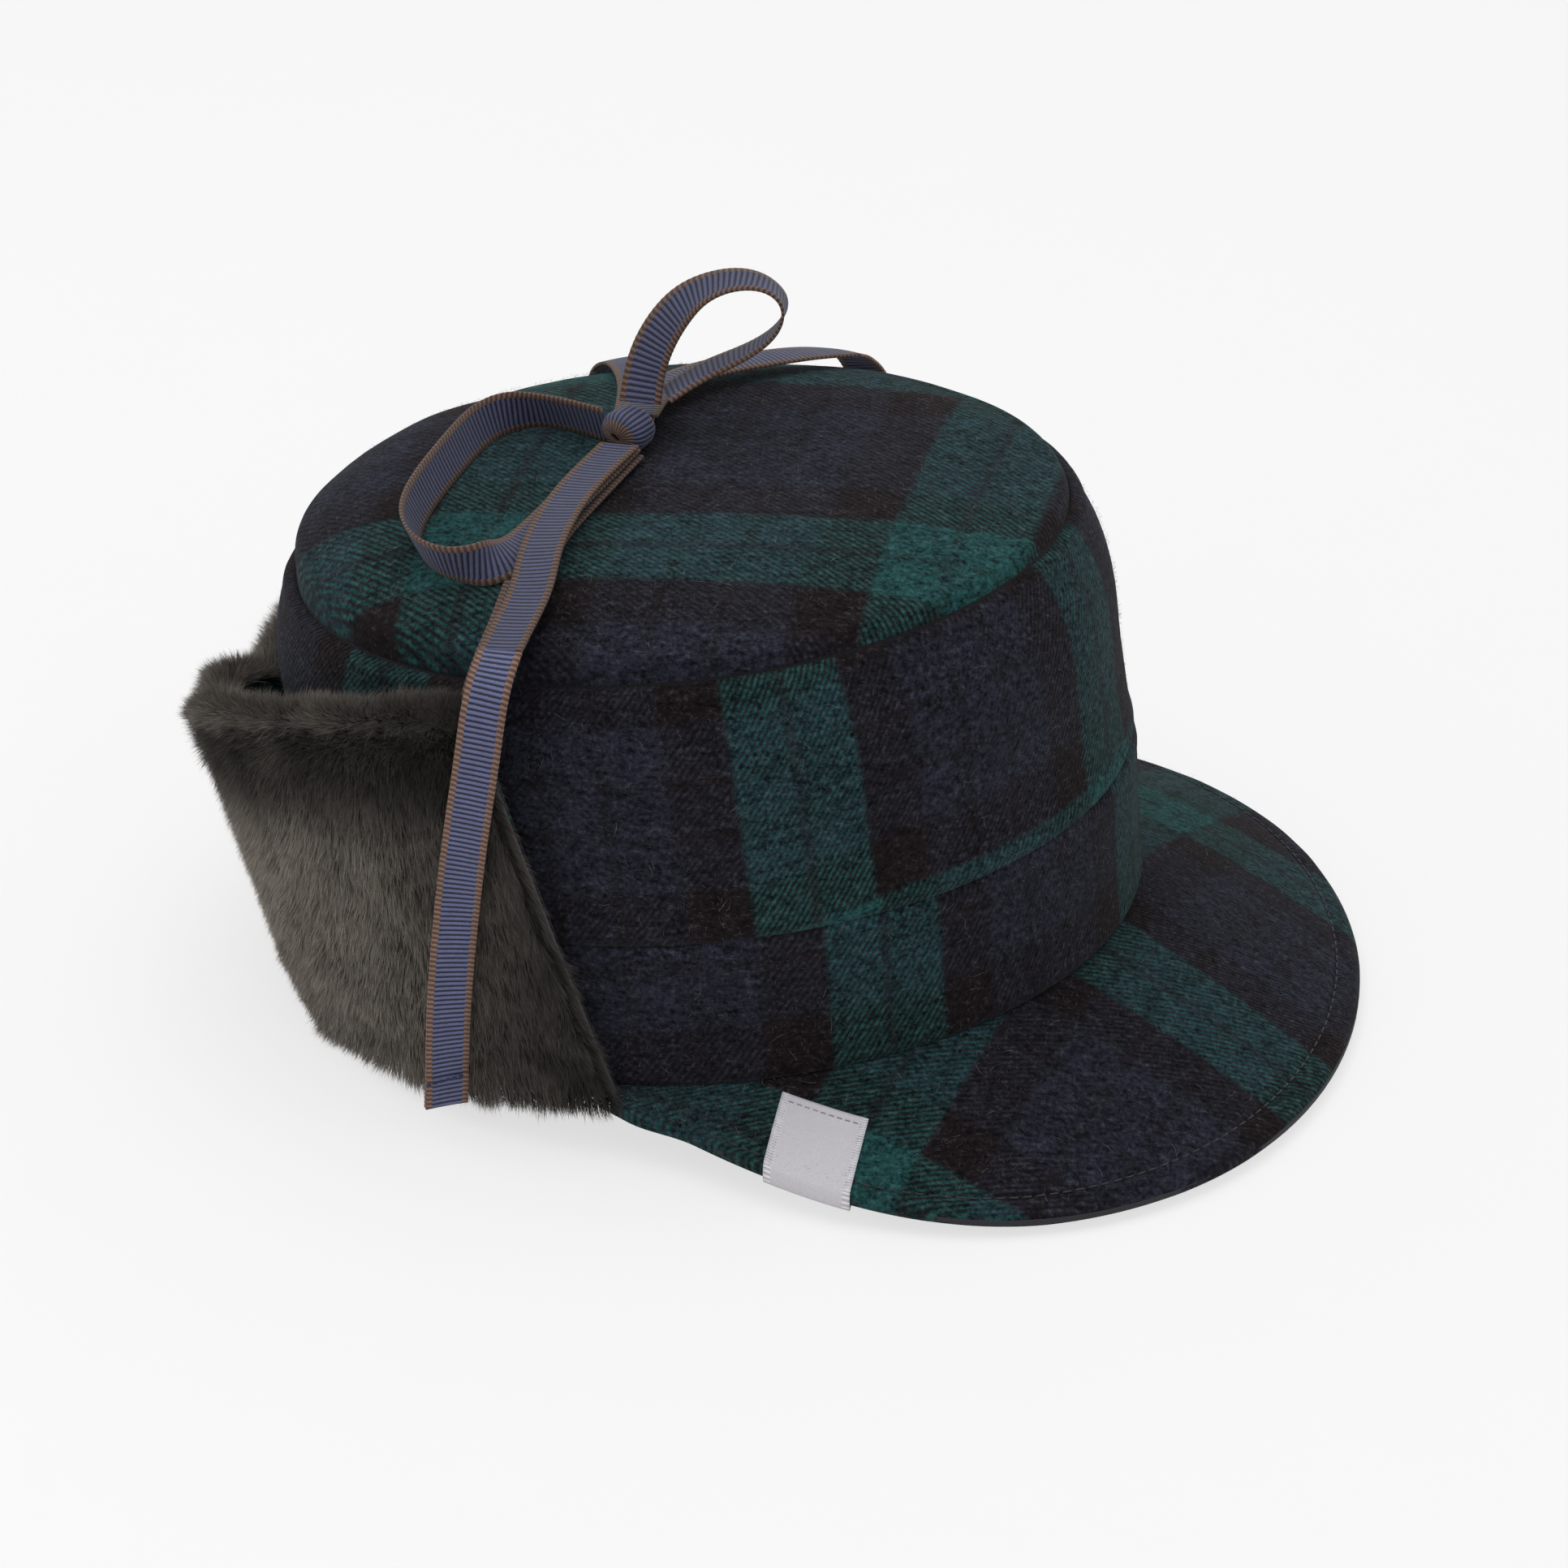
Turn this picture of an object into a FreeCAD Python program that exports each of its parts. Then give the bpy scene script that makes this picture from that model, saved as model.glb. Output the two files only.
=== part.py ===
import FreeCAD, Part
import math
import os

V = FreeCAD.Vector

# Trapper hat in millimetres. The crown is drawn upright about the centre of its head opening, front towards -Y,
# and then leaned back, because the hat rests on the front of its brim and on the folded edge of its flap.

# Crown, outside of the wool cloth
base_length = 204.4
oval_share = 0.823
base_width = round(base_length * oval_share, 1)
band_height = 39.2
band_seam_length = round(base_length - 1.0, 3)
band_seam_width = round(base_width + 2.0, 3)
tip_seam_height = 103.7
tip_seam_length = round(base_length - 16.0, 3)
tip_seam_width = round(base_width - 13.8, 3)
seam_set_forward = 2.8
wall_bulge_length = 4.6
wall_bulge_width = 3.2
wall_steps = 10
tip_rise = 15.8
tip_lean = 0.005
lean_back_deg = 8.0

# Layers from outside to inside
wool = 2.0
interlining = 1.0
lining = 0.6
sweatband_thickness = 1.2
sweatband_height = 32.0
seam_allowance = 5.0

# Brim
brim_length = 54.7
brim_side_flare = 9.6
brim_end_deg = 98.0
brim_level_deg = 49.7
brim_cloth = 1.4
brim_board = 1.2
brim_board_margin = 0.05
brim_tuck = 2.4
floor_drop = 16.0
thread_radius = 0.35
stitch_inset = 0.13

# Folded-up flap: one band sewn to the opening edge, cut here into panels that fold together
flap_start_deg = 98.7
panels = 9
flap_cloth = 1.2
flap_fur = 7.3
flap_gap = 0.5
flap_hinge_drop = 1.0
panel_gap = 0.4
right_ear_rise = 105.0
left_ear_rise = 90.0
corner_rise = 81.0
back_rise = 68.0
ear_front_slant = 15.0
ear_lean_deg = 1.5
back_lean_deg = 8.0

# Grosgrain ribbon ties
ribbon_width = 10.0
ribbon_thickness = 0.8
ribbon_gap = 0.6
hem_fold = 9.0

# Woven label folded over the brim edge
label_width = 20.0
label_thickness = 0.4
label_clearance = 0.05
label_gap = 2 * thread_radius + label_clearance
label_middle_deg = 72.0
label_reach = 0.52


def ease(share):
    """0 to 1 with level ends."""
    return share * share * (3 - 2 * share)


def mix(first, second, share):
    return first + (second - first) * share


def wall_bulge(share):
    """How far the side panel swells between its two seams, fullest near the top."""
    return math.sin(math.pi * share ** 2) ** 0.8 if 0 < share < 1 else 0


def crown_oval(height):
    """Centre shift and half sizes of the outer oval at a height."""
    if height <= band_height:
        share = height / band_height
        length = mix(base_length, band_seam_length, share)
        width = mix(base_width, band_seam_width, share)
        return -seam_set_forward * share, length / 2, width / 2
    share = (height - band_height) / (tip_seam_height - band_height)
    swell = wall_bulge(share)
    length = mix(band_seam_length, tip_seam_length, share) / 2 + wall_bulge_length * swell
    width = mix(band_seam_width, tip_seam_width, share) / 2 + wall_bulge_width * swell
    return -seam_set_forward, length, width


def oval_wire(shift, half_length, half_width, height, slope_deg=0.0):
    ellipse = Part.Ellipse(V(0, 0, 0), half_length, half_width)
    edge = ellipse.toShape()
    edge.rotate(V(0, 0, 0), V(0, 0, 1), 90)
    edge.rotate(V(0, 0, 0), V(1, 0, 0), slope_deg)
    edge.translate(V(0, shift, height))
    return Part.Wire([edge])


def wall_block(inset, low, high, steps):
    """Solid inside the crown wall, drawn in by inset, between two heights."""
    wires = []
    for i in range(steps + 1):
        height = mix(low, high, i / steps)
        shift, half_length, half_width = crown_oval(height)
        wires.append(oval_wire(shift, half_length - inset, half_width - inset, height))
    return Part.makeLoft(wires, True, False)


def slab(low, high):
    """Everything between two heights."""
    return Part.makeBox(2 * base_width, 2 * base_length, high - low, V(-base_width, -base_length, low))


def wall_ring(outer, inner, low, high):
    """One layer of the crown wall; every layer is cut from the same straight band and the same swelling side."""
    stretches = []
    if low < band_height:
        stretches.append((0, band_height, 1))
    if high > band_height:
        stretches.append((band_height, tip_seam_height, wall_steps))
    rings = []
    for bottom, top, steps in stretches:
        ring = wall_block(outer, bottom, top, steps).cut(wall_block(inner, bottom, top, steps))
        rings.append(ring.common(slab(max(low, bottom), min(high, top))))
    whole = rings[0].fuse(rings[1:]) if len(rings) > 1 else rings[0]
    return whole.Solids[0]


def tip_block(inset):
    """Solid inside the domed tip, drawn in by inset; the dome is highest behind its middle."""
    steps = 14
    wires = []
    for i in range(steps + 1):
        turn = math.radians(mix(0, 86, i / steps))
        reach = math.cos(turn) ** 0.53
        rise = (tip_rise - inset) * math.sin(turn)
        slope = math.degrees(math.atan(rise * tip_lean))
        half_length = (tip_seam_length / 2 - inset) * reach
        half_width = (tip_seam_width / 2 - inset) * reach
        wires.append(oval_wire(-seam_set_forward, half_length, half_width, tip_seam_height + rise, slope))
    return Part.makeLoft(wires, True, True)


def tip_layer(outer, inner):
    return tip_block(outer).cut(tip_block(inner))


def leaned(point):
    """A point of the upright crown carried to where it lies with the hat at rest."""
    turn = math.radians(-lean_back_deg)
    y = point.y * math.cos(turn) - point.z * math.sin(turn)
    z = point.y * math.sin(turn) + point.z * math.cos(turn)
    return V(point.x, y, z)


def opening_point(angle_deg, outset=0.0, height=0.0):
    """Point beside the opening edge of the upright crown; 0 degrees is the front, positive towards the left ear."""
    turn = math.radians(angle_deg)
    x = base_width / 2 * math.sin(turn)
    y = -base_length / 2 * math.cos(turn)
    out = outward(angle_deg)
    return V(x + out.x * outset, y + out.y * outset, height)


def outward(angle_deg):
    """Unit vector square to the opening edge, away from the head."""
    turn = math.radians(angle_deg)
    return V(math.sin(turn) / base_width, -math.cos(turn) / base_length, 0).normalize()


def brim_reach(angle_deg):
    """How far the brim stands out from the crown at an angle."""
    share = abs(angle_deg) / (brim_end_deg + 0.7)
    return brim_length * math.cos(share * math.pi / 2) + brim_side_flare * math.sin(share * math.pi) ** 2


def brim_point(angle_deg, share):
    """Point of the brim's upper face at rest; share runs from the crown (0) to the edge (1)."""
    root = leaned(opening_point(angle_deg, -brim_tuck))
    seam = leaned(opening_point(angle_deg))
    out = leaned(outward(angle_deg))
    out = V(out.x, out.y, 0).normalize()
    rise = max(0.0, (abs(angle_deg) - brim_level_deg) / (brim_end_deg - brim_level_deg)) ** 1.7
    edge = seam + out * brim_reach(angle_deg)
    thickness = 2 * brim_cloth + brim_board
    edge.z = mix(thickness - floor_drop, seam.z, rise)
    return root + (edge - root) * share


def brim_curve(share, start_deg, end_deg, height, steps=24):
    points = []
    places = []
    for i in range(steps + 1):
        point = brim_point(mix(start_deg, end_deg, i / steps), share)
        points.append(point + V(0, 0, height))
        places.append(float(i))
    curve = Part.BSplineCurve()
    curve.interpolate(Points=points, Parameters=places)
    return curve.toShape()


def brim_patch(start_deg, end_deg, inner, outer, bottom, top):
    """Solid sheet of the brim between two angles, two shares of its reach and two heights over its upper face."""
    low_in = brim_curve(inner, start_deg, end_deg, bottom)
    low_out = brim_curve(outer, start_deg, end_deg, bottom)
    high_in = brim_curve(inner, start_deg, end_deg, top)
    high_out = brim_curve(outer, start_deg, end_deg, top)
    faces = [
        Part.makeRuledSurface(low_in, low_out),
        Part.makeRuledSurface(high_in, high_out),
        Part.makeRuledSurface(low_in, high_in),
        Part.makeRuledSurface(low_out, high_out),
    ]
    for end in (0, -1):
        corners = [edge.Vertexes[end].Point for edge in (low_in, low_out, high_out, high_in)]
        faces.append(Part.Face(Part.makePolygon(corners + corners[:1])))
    shell = Part.makeShell(faces)
    shell.sewShape()
    return Part.makeSolid(shell)


def brim_thread(share, side):
    """A run of sewing thread lying on the brim's upper face."""
    path = brim_curve(share, -side, side, thread_radius, 32)
    start = path.Vertexes[0].Point
    along = path.tangentAt(path.FirstParameter)
    circle = Part.Wire([Part.makeCircle(thread_radius, start, along)])
    return Part.Wire([path]).makePipeShell([circle], True, True)


def label_leaf():
    """Label folded over the brim edge, with a leaf on each face."""
    half = math.degrees(label_width / 2 / (base_length / 2 + brim_reach(label_middle_deg)))
    start = -label_middle_deg - half
    end = -label_middle_deg + half
    bottom = -2 * brim_cloth - brim_board
    deep = label_gap + label_thickness
    block = brim_patch(start, end, 1 - label_reach, 1.04, bottom - deep, deep)
    core = brim_patch(start - 2, end + 2, 0.1, 1.02, bottom - label_gap, label_gap)
    return block.cut(core)


def label_stitches():
    half = math.degrees(label_width / 2 / (base_length / 2 + brim_reach(label_middle_deg))) * 0.9
    height = label_gap + label_thickness + 0.05
    share = 1 - label_reach * 0.86
    start = -label_middle_deg - half
    end = -label_middle_deg + half
    return brim_patch(start, end, share, share + 0.02, height, height + 0.3)


def panel_angles(index):
    """Start and end angle of a flap panel; panel 0 is the right ear's front panel, the last one the left ear's."""
    sweep = (360 - 2 * flap_start_deg) / panels
    start = -flap_start_deg - sweep * index
    return start, start - sweep


def panel_lean(index):
    share = 1 - abs(index - (panels - 1) / 2) / ((panels - 1) / 2)
    return mix(ear_lean_deg, back_lean_deg, math.sin(share * math.pi / 2))


def flap_rise(index_edge):
    """Height of the flap's free edge at a panel boundary, counted from the right ear's front."""
    from_back = abs(index_edge - panels / 2) / (panels / 2)
    ear = right_ear_rise if index_edge < panels / 2 else left_ear_rise
    corner = min(corner_rise, ear)
    if from_back > 5 / 9:
        return mix(corner + (ear - corner) * 0.72, ear, min(1, (from_back - 5 / 9) / (2 / 9)))
    return mix(back_rise, corner + (ear - corner) * 0.72, ease(from_back / (5 / 9)))


def panel_frame(index):
    """Hinge line of a panel on the upright crown: its two ends, its outward normal and its rising direction."""
    start, end = panel_angles(index)
    first = opening_point(start)
    second = opening_point(end)
    middle = opening_point((start + end) / 2)
    out = (second - first).cross(V(0, 0, 1)).normalize()
    if out.dot(middle) < 0:
        out = out * -1
    offset = (middle - first).dot(out) + flap_gap
    lower = V(0, 0, -flap_hinge_drop)
    first = first + out * offset + lower
    second = second + out * offset + lower
    lean = math.radians(panel_lean(index))
    rising = V(0, 0, 1) * math.cos(lean) + out * math.sin(lean)
    facing = out * math.cos(lean) - V(0, 0, 1) * math.sin(lean)
    return first, second, facing, rising


def panel_solid(index, near, far):
    """Flap layer between two depths from the cloth's inner face; its sides draw in with depth so it can fold under."""
    first, second, facing, rising = panel_frame(index)
    along = (second - first).normalize()
    draw_in = math.tan(math.radians((360 - 2 * flap_start_deg) / panels / 2))
    left_top = flap_rise(index)
    right_top = flap_rise(index + 1)
    wires = []
    for depth in (near, far):
        trim = along * (panel_gap / 2 + depth * draw_in)
        front_cut = along * (ear_front_slant if index == 0 else 0)
        back_cut = along * (ear_front_slant if index == panels - 1 else 0)
        foot = rising * (flap_hinge_drop * 0.3) + facing * depth
        corners = [
            first + trim + foot,
            second - trim + foot,
            second - trim - back_cut + rising * right_top + facing * depth,
            first + trim + front_cut + rising * left_top + facing * depth,
        ]
        wires.append(Part.makePolygon(corners + corners[:1]))
    return Part.makeLoft(wires, True, True)


def ribbon_strip(points, width=ribbon_width, thickness=ribbon_thickness):
    """Flat ribbon through (point, across) stations: the path's middle and the direction of its width."""
    wires = []
    for i in range(len(points)):
        middle, across = points[i]
        before = points[max(0, i - 1)][0]
        after = points[min(len(points) - 1, i + 1)][0]
        along = (after - before).normalize()
        side = (across - along * across.dot(along)).normalize()
        face = along.cross(side).normalize()
        half = side * (width / 2)
        deep = face * (thickness / 2)
        corners = [middle - half - deep, middle + half - deep, middle + half + deep, middle - half + deep]
        wires.append(Part.makePolygon(corners + corners[:1]))
    return Part.makeLoft(wires, True, True)


def station(x, y, z, across):
    return V(x, y, z), V(*across)


# Ribbon routes on the upright crown, chosen by hand: millimetres, then the direction of the ribbon's width
right_tie_route = [
    station(2.9, 8.5, 122.4, (0, 1, 0)),
    station(-27, 9, 121.6, (0.1, 1, 0)),
    station(-50, 11, 120.1, (0.3, 1, 0)),
    station(-66, 19, 117.6, (0.6, 0.8, 0)),
    station(-80, 29, 111.2, (0.5, 0.9, 0)),
    station(-91, 33, 105.6, (0.2, 1, 0)),
]
right_tail_route = [
    station(1.8, 9, 125.5, (0, 1, 0)),
    station(-22, 16, 125.6, (0.3, 1, 0)),
    station(-44, 19, 124.4, (0.1, 1, 0)),
    station(-61, 19, 121.3, (0, 1, 0)),
    station(-73, 20.5, 119.6, (0, 1, 0)),
    station(-83.5, 21.7, 118.8, (0, 1, 0)),
]
right_tail_drop = [
    station(-84.6, 21.9, 118.6, (0, 1, 0)),
    station(-93.5, 24.2, 113.5, (0, 1, 0)),
    station(-95.8, 29.4, 94.8, (0, 1, 0)),
    station(-94.4, 36, 73, (0, 1, 0)),
    station(-92, 42.4, 50, (-0.25, 1, 0)),
    station(-90.4, 48, 27.2, (-0.35, 1, 0)),
    station(-87, 54, -1, (-0.5, 1, 0)),
]
left_tie_route = [
    station(14.9, 9, 122.9, (0, 1, 0)),
    station(42, 12, 121.3, (0.1, 1, 0)),
    station(63, 19, 118.2, (-0.3, 1, 0)),
    station(77, 26.5, 110.4, (-0.3, 1, 0)),
    station(84.5, 31, 100, (0.1, 1, 0)),
    station(91, 33, 90.8, (0, 1, 0)),
]
left_tail_route = [
    station(14.9, 7, 126.2, (0, 1, 0)),
    station(34, 5, 124.5, (0.2, 1, 0)),
    station(46, -4, 122.6, (0.7, 0.7, 0)),
    station(56, -16, 119.8, (0.7, 0.7, 0)),
    station(66, -26, 116, (0.6, 0.8, 0)),
    station(75.5, -33, 111, (0.4, 0.9, 0)),
]
left_tail_drop = [
    station(76.4, -33.6, 110.2, (0.4, 0.9, 0)),
    station(81.2, -36, 104, (0.2, 1, 0)),
    station(83.6, -37.5, 92, (0, 1, 0)),
    station(84.6, -38.6, 70, (-0.3, 1, 0)),
    station(86, -39.6, 45, (-0.3, 1, 0)),
    station(89, -41, 14, (-0.3, 1, 0)),
]
upright_loop_route = [
    station(12, 5, 131.2, (-0.3, -0.9, -0.3)),
    station(17, 2.5, 141, (-0.4, -0.8, -0.4)),
    station(20, -5.3, 151.5, (-0.6, -0.5, -0.4)),
    station(21, -14, 156.8, (-0.9, -0.1, -0.2)),
    station(22, -24, 157.6, (-1, 0, 0)),
    station(22, -31, 153.6, (-0.9, 0, 0.3)),
    station(22, -32, 148.4, (-0.9, -0.1, 0.3)),
    station(22, -28, 142.6, (-1, -0.2, 0.2)),
    station(21, -20, 138.4, (-1, -0.2, 0.1)),
    station(18, -9, 135.4, (-1, -0.3, 0)),
    station(15, -1, 131.6, (-1, -0.3, 0)),
]
back_loop_route = [
    station(10.5, 13.8, 126.5, (-0.2, 0, 1)),
    station(16, 23.5, 127, (-0.3, 0, 1)),
    station(20, 34.5, 127.4, (-0.2, 0.2, 1)),
    station(14, 43.5, 128, (0, 0.3, 1)),
    station(-7, 49, 128, (0, 0.3, 1)),
    station(-26, 52.5, 127.2, (0, 0.3, 1)),
    station(-38, 52, 126, (-0.1, 0.3, 1)),
    station(-48.5, 46, 124.8, (-0.3, 0.2, 1)),
    station(-53, 38, 124.2, (-0.3, 0, 1)),
    station(-51.5, 30, 123.4, (0.1, 0.5, 0.8)),
    station(-44, 22, 122, (0.5, 0.8, 0.3)),
    station(-26, 13.5, 123.5, (0.3, 1, 0.05)),
    station(3.2, 9, 123.9, (0, 1, 0)),
]
knot_middle = V(9, 8, 126)
knot_size = V(11, 10, 9)
knot_round = 2.5
right_tie_hinge = V(-91.5, 33, 105.9)
left_tie_hinge = V(91.5, 33, 91)
right_tail_hinge = V(-84, 21.8, 118.7)
left_tail_hinge = V(76, -33.3, 110.7)


def knot():
    corner = knot_middle - knot_size * 0.5
    block = Part.makeBox(knot_size.x, knot_size.y, knot_size.z, corner)
    return block.makeFillet(knot_round, block.Edges)


def shortened(route, length):
    """The route without its last stretch, which the hem takes."""
    last, across = route[-1]
    before = route[-2][0]
    back = (before - last).normalize()
    return route[:-1] + [(last + back * (length + ribbon_gap), across)]


def hem(route):
    """Doubled end of a ribbon tail, sewn across."""
    last, across = route[-1]
    back = (route[-2][0] - last).normalize()
    return ribbon_strip([(last + back * hem_fold, across), (last, across)], thickness=2 * ribbon_thickness)


def crown_pieces():
    cloth = wool + interlining
    inside = cloth + lining
    under_tip = tip_seam_height - seam_allowance
    over_band = band_height + seam_allowance
    return {
        "tip_wool": tip_layer(0, wool),
        "tip_interlining": tip_layer(wool, cloth),
        "tip_lining": tip_layer(cloth, inside),
        "side_wool": wall_ring(0, wool, band_height, tip_seam_height),
        "side_interlining": wall_ring(wool, cloth, over_band, under_tip),
        "side_lining": wall_ring(cloth, inside, sweatband_height * 0.5, tip_seam_height),
        "tip_seam_allowance": wall_ring(wool, cloth, under_tip, tip_seam_height),
        "band_seam_allowance": wall_ring(wool, cloth, band_height, over_band),
        "lower_band_wool": wall_ring(0, wool, 0, band_height),
        "lower_band_interlining": wall_ring(wool, cloth, 0, band_height),
        "sweatband": wall_ring(inside, inside + sweatband_thickness, 0, sweatband_height),
        "sweatband_facing": wall_ring(cloth, inside, 0, sweatband_height * 0.5),
    }


def brim_pieces():
    side = brim_end_deg * 0.985
    middle = -brim_cloth - brim_board
    return {
        "brim_top_wool": brim_patch(-side, side, 0, 1, -brim_cloth, 0),
        "brim_board": brim_patch(-side, side, 0, 1 - brim_board_margin, middle, -brim_cloth),
        "brim_under_wool": brim_patch(-side, side, 0, 1, middle - brim_cloth, middle),
        "brim_edge_binding": brim_patch(-side, side, 1 - brim_board_margin, 1, middle, -brim_cloth),
        "brim_topstitching": brim_thread(1 - stitch_inset, side * 0.9),
        "label": label_leaf(),
        "label_stitching": label_stitches(),
    }


def flap_pieces():
    pieces = {}
    for index in range(panels):
        pieces[f"flap_wool_{index + 1}"] = panel_solid(index, 0, flap_cloth)
        pieces[f"flap_fur_{index + 1}"] = panel_solid(index, flap_cloth, flap_cloth + flap_fur)
    return pieces


def ribbon_pieces():
    taken = hem_fold
    return {
        "right_tie_ribbon": ribbon_strip(right_tie_route),
        "right_tail_upper": ribbon_strip(right_tail_route),
        "right_tail_lower": ribbon_strip(shortened(right_tail_drop, taken)),
        "right_tail_hem": hem(right_tail_drop),
        "left_tie_ribbon": ribbon_strip(left_tie_route),
        "left_tail_upper": ribbon_strip(left_tail_route),
        "left_tail_lower": ribbon_strip(shortened(left_tail_drop, taken)),
        "left_tail_hem": hem(left_tail_drop),
        "upright_loop": ribbon_strip(upright_loop_route),
        "back_loop": ribbon_strip(back_loop_route),
        "bow_knot": knot(),
    }


def at_rest(shape):
    """The upright piece as it lies with the hat leaned back."""
    shape = shape.copy()
    shape.rotate(V(0, 0, 0), V(1, 0, 0), -lean_back_deg)
    return shape


def main():
    os.makedirs("parts", exist_ok=True)
    upright = {}
    upright.update(crown_pieces())
    upright.update(flap_pieces())
    upright.update(ribbon_pieces())
    pieces = {name: at_rest(shape) for name, shape in upright.items()}
    pieces.update(brim_pieces())
    for name, shape in pieces.items():
        if len(shape.Solids) != 1 or not shape.isValid():
            print("check", name, len(shape.Solids), shape.isValid())
        shape.exportStep(f"parts/{name}.step")
    print(len(pieces), "pieces")


main()
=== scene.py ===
import bpy
import bmesh
import math
import random
import numpy as np
from mathutils import Matrix, Vector, noise


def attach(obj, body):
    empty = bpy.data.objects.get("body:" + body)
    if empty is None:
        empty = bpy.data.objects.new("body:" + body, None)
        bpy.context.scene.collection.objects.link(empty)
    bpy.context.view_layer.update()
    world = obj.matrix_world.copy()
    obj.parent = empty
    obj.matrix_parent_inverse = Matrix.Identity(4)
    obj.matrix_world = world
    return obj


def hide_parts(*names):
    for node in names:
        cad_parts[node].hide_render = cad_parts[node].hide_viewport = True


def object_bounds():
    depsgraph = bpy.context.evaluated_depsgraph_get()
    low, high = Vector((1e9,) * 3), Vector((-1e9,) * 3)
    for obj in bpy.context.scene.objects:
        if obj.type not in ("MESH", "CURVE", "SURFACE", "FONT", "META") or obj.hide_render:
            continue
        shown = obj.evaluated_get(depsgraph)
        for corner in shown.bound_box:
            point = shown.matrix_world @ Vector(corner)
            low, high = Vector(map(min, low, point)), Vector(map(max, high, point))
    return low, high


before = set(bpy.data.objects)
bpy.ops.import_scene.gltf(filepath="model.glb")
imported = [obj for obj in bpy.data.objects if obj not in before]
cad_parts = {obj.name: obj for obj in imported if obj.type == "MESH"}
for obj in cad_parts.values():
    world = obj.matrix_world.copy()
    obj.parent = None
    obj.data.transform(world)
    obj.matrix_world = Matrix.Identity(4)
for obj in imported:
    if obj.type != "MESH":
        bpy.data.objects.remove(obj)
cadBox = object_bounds()
mm = 0.001
noise.seed_set(5)     # the same drift of the pile every run

# camera, floor and light
studio = {
    "azimuth": -80.85,
    "elevation": 30.38,
    "distance": 1.3595,
    "target": (0.0, 0.0, 0.05),
    "lens": 128.83,
    "shift": (0.0354, -0.0384),
    "floorTone": 0.92,
    "floorGrain": 0.01,
    "floorSize": 4.0,
    "floorBelow": 0.0004,
    "floorClear": 0.68,     # how much of the pale backdrop shows through the floor
    "backdrop": 1.0,
    "white": (1.0, 1.0, 1.0, 1.0),
    "fill": 0.60,
    "keyPower": 9.0,
    "sidePower": 0.8,
}


def srgb(red, green, blue):
    tones = []
    for value in (red, green, blue):
        share = value / 255
        tones.append(share / 12.92 if share <= 0.04045 else ((share + 0.055) / 1.055) ** 2.4)
    return (*tones, 1.0)


class Value:
    # one output socket; sums on it add Math nodes
    def __init__(self, build, socket):
        self.build = build
        self.socket = socket

    def math(self, operation, first, second=None, third=None):
        inputs = {0: first}
        if second is not None:
            inputs[1] = second
        if third is not None:
            inputs[2] = third
        return self.build.node("ShaderNodeMath", {"operation": operation}, inputs)

    def __add__(self, other):
        return self.math("ADD", self, other)

    def __radd__(self, other):
        return self.math("ADD", other, self)

    def __sub__(self, other):
        return self.math("SUBTRACT", self, other)

    def __rsub__(self, other):
        return self.math("SUBTRACT", other, self)

    def __mul__(self, other):
        return self.math("MULTIPLY", self, other)

    def __rmul__(self, other):
        return self.math("MULTIPLY", other, self)

    def __truediv__(self, other):
        return self.math("DIVIDE", self, other)

    def __abs__(self):
        return self.math("ABSOLUTE", self)

    def sine(self):
        return self.math("SINE", self)

    def within(self, size):
        return self.math("FRACT", self / size) * size

    def step(self, low, high):
        # 0 below low, 1 above high, soft between
        settings = {"interpolation_type": "SMOOTHSTEP"}
        return self.build.node("ShaderNodeMapRange", settings, {0: self, 1: low, 2: high})


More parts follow.
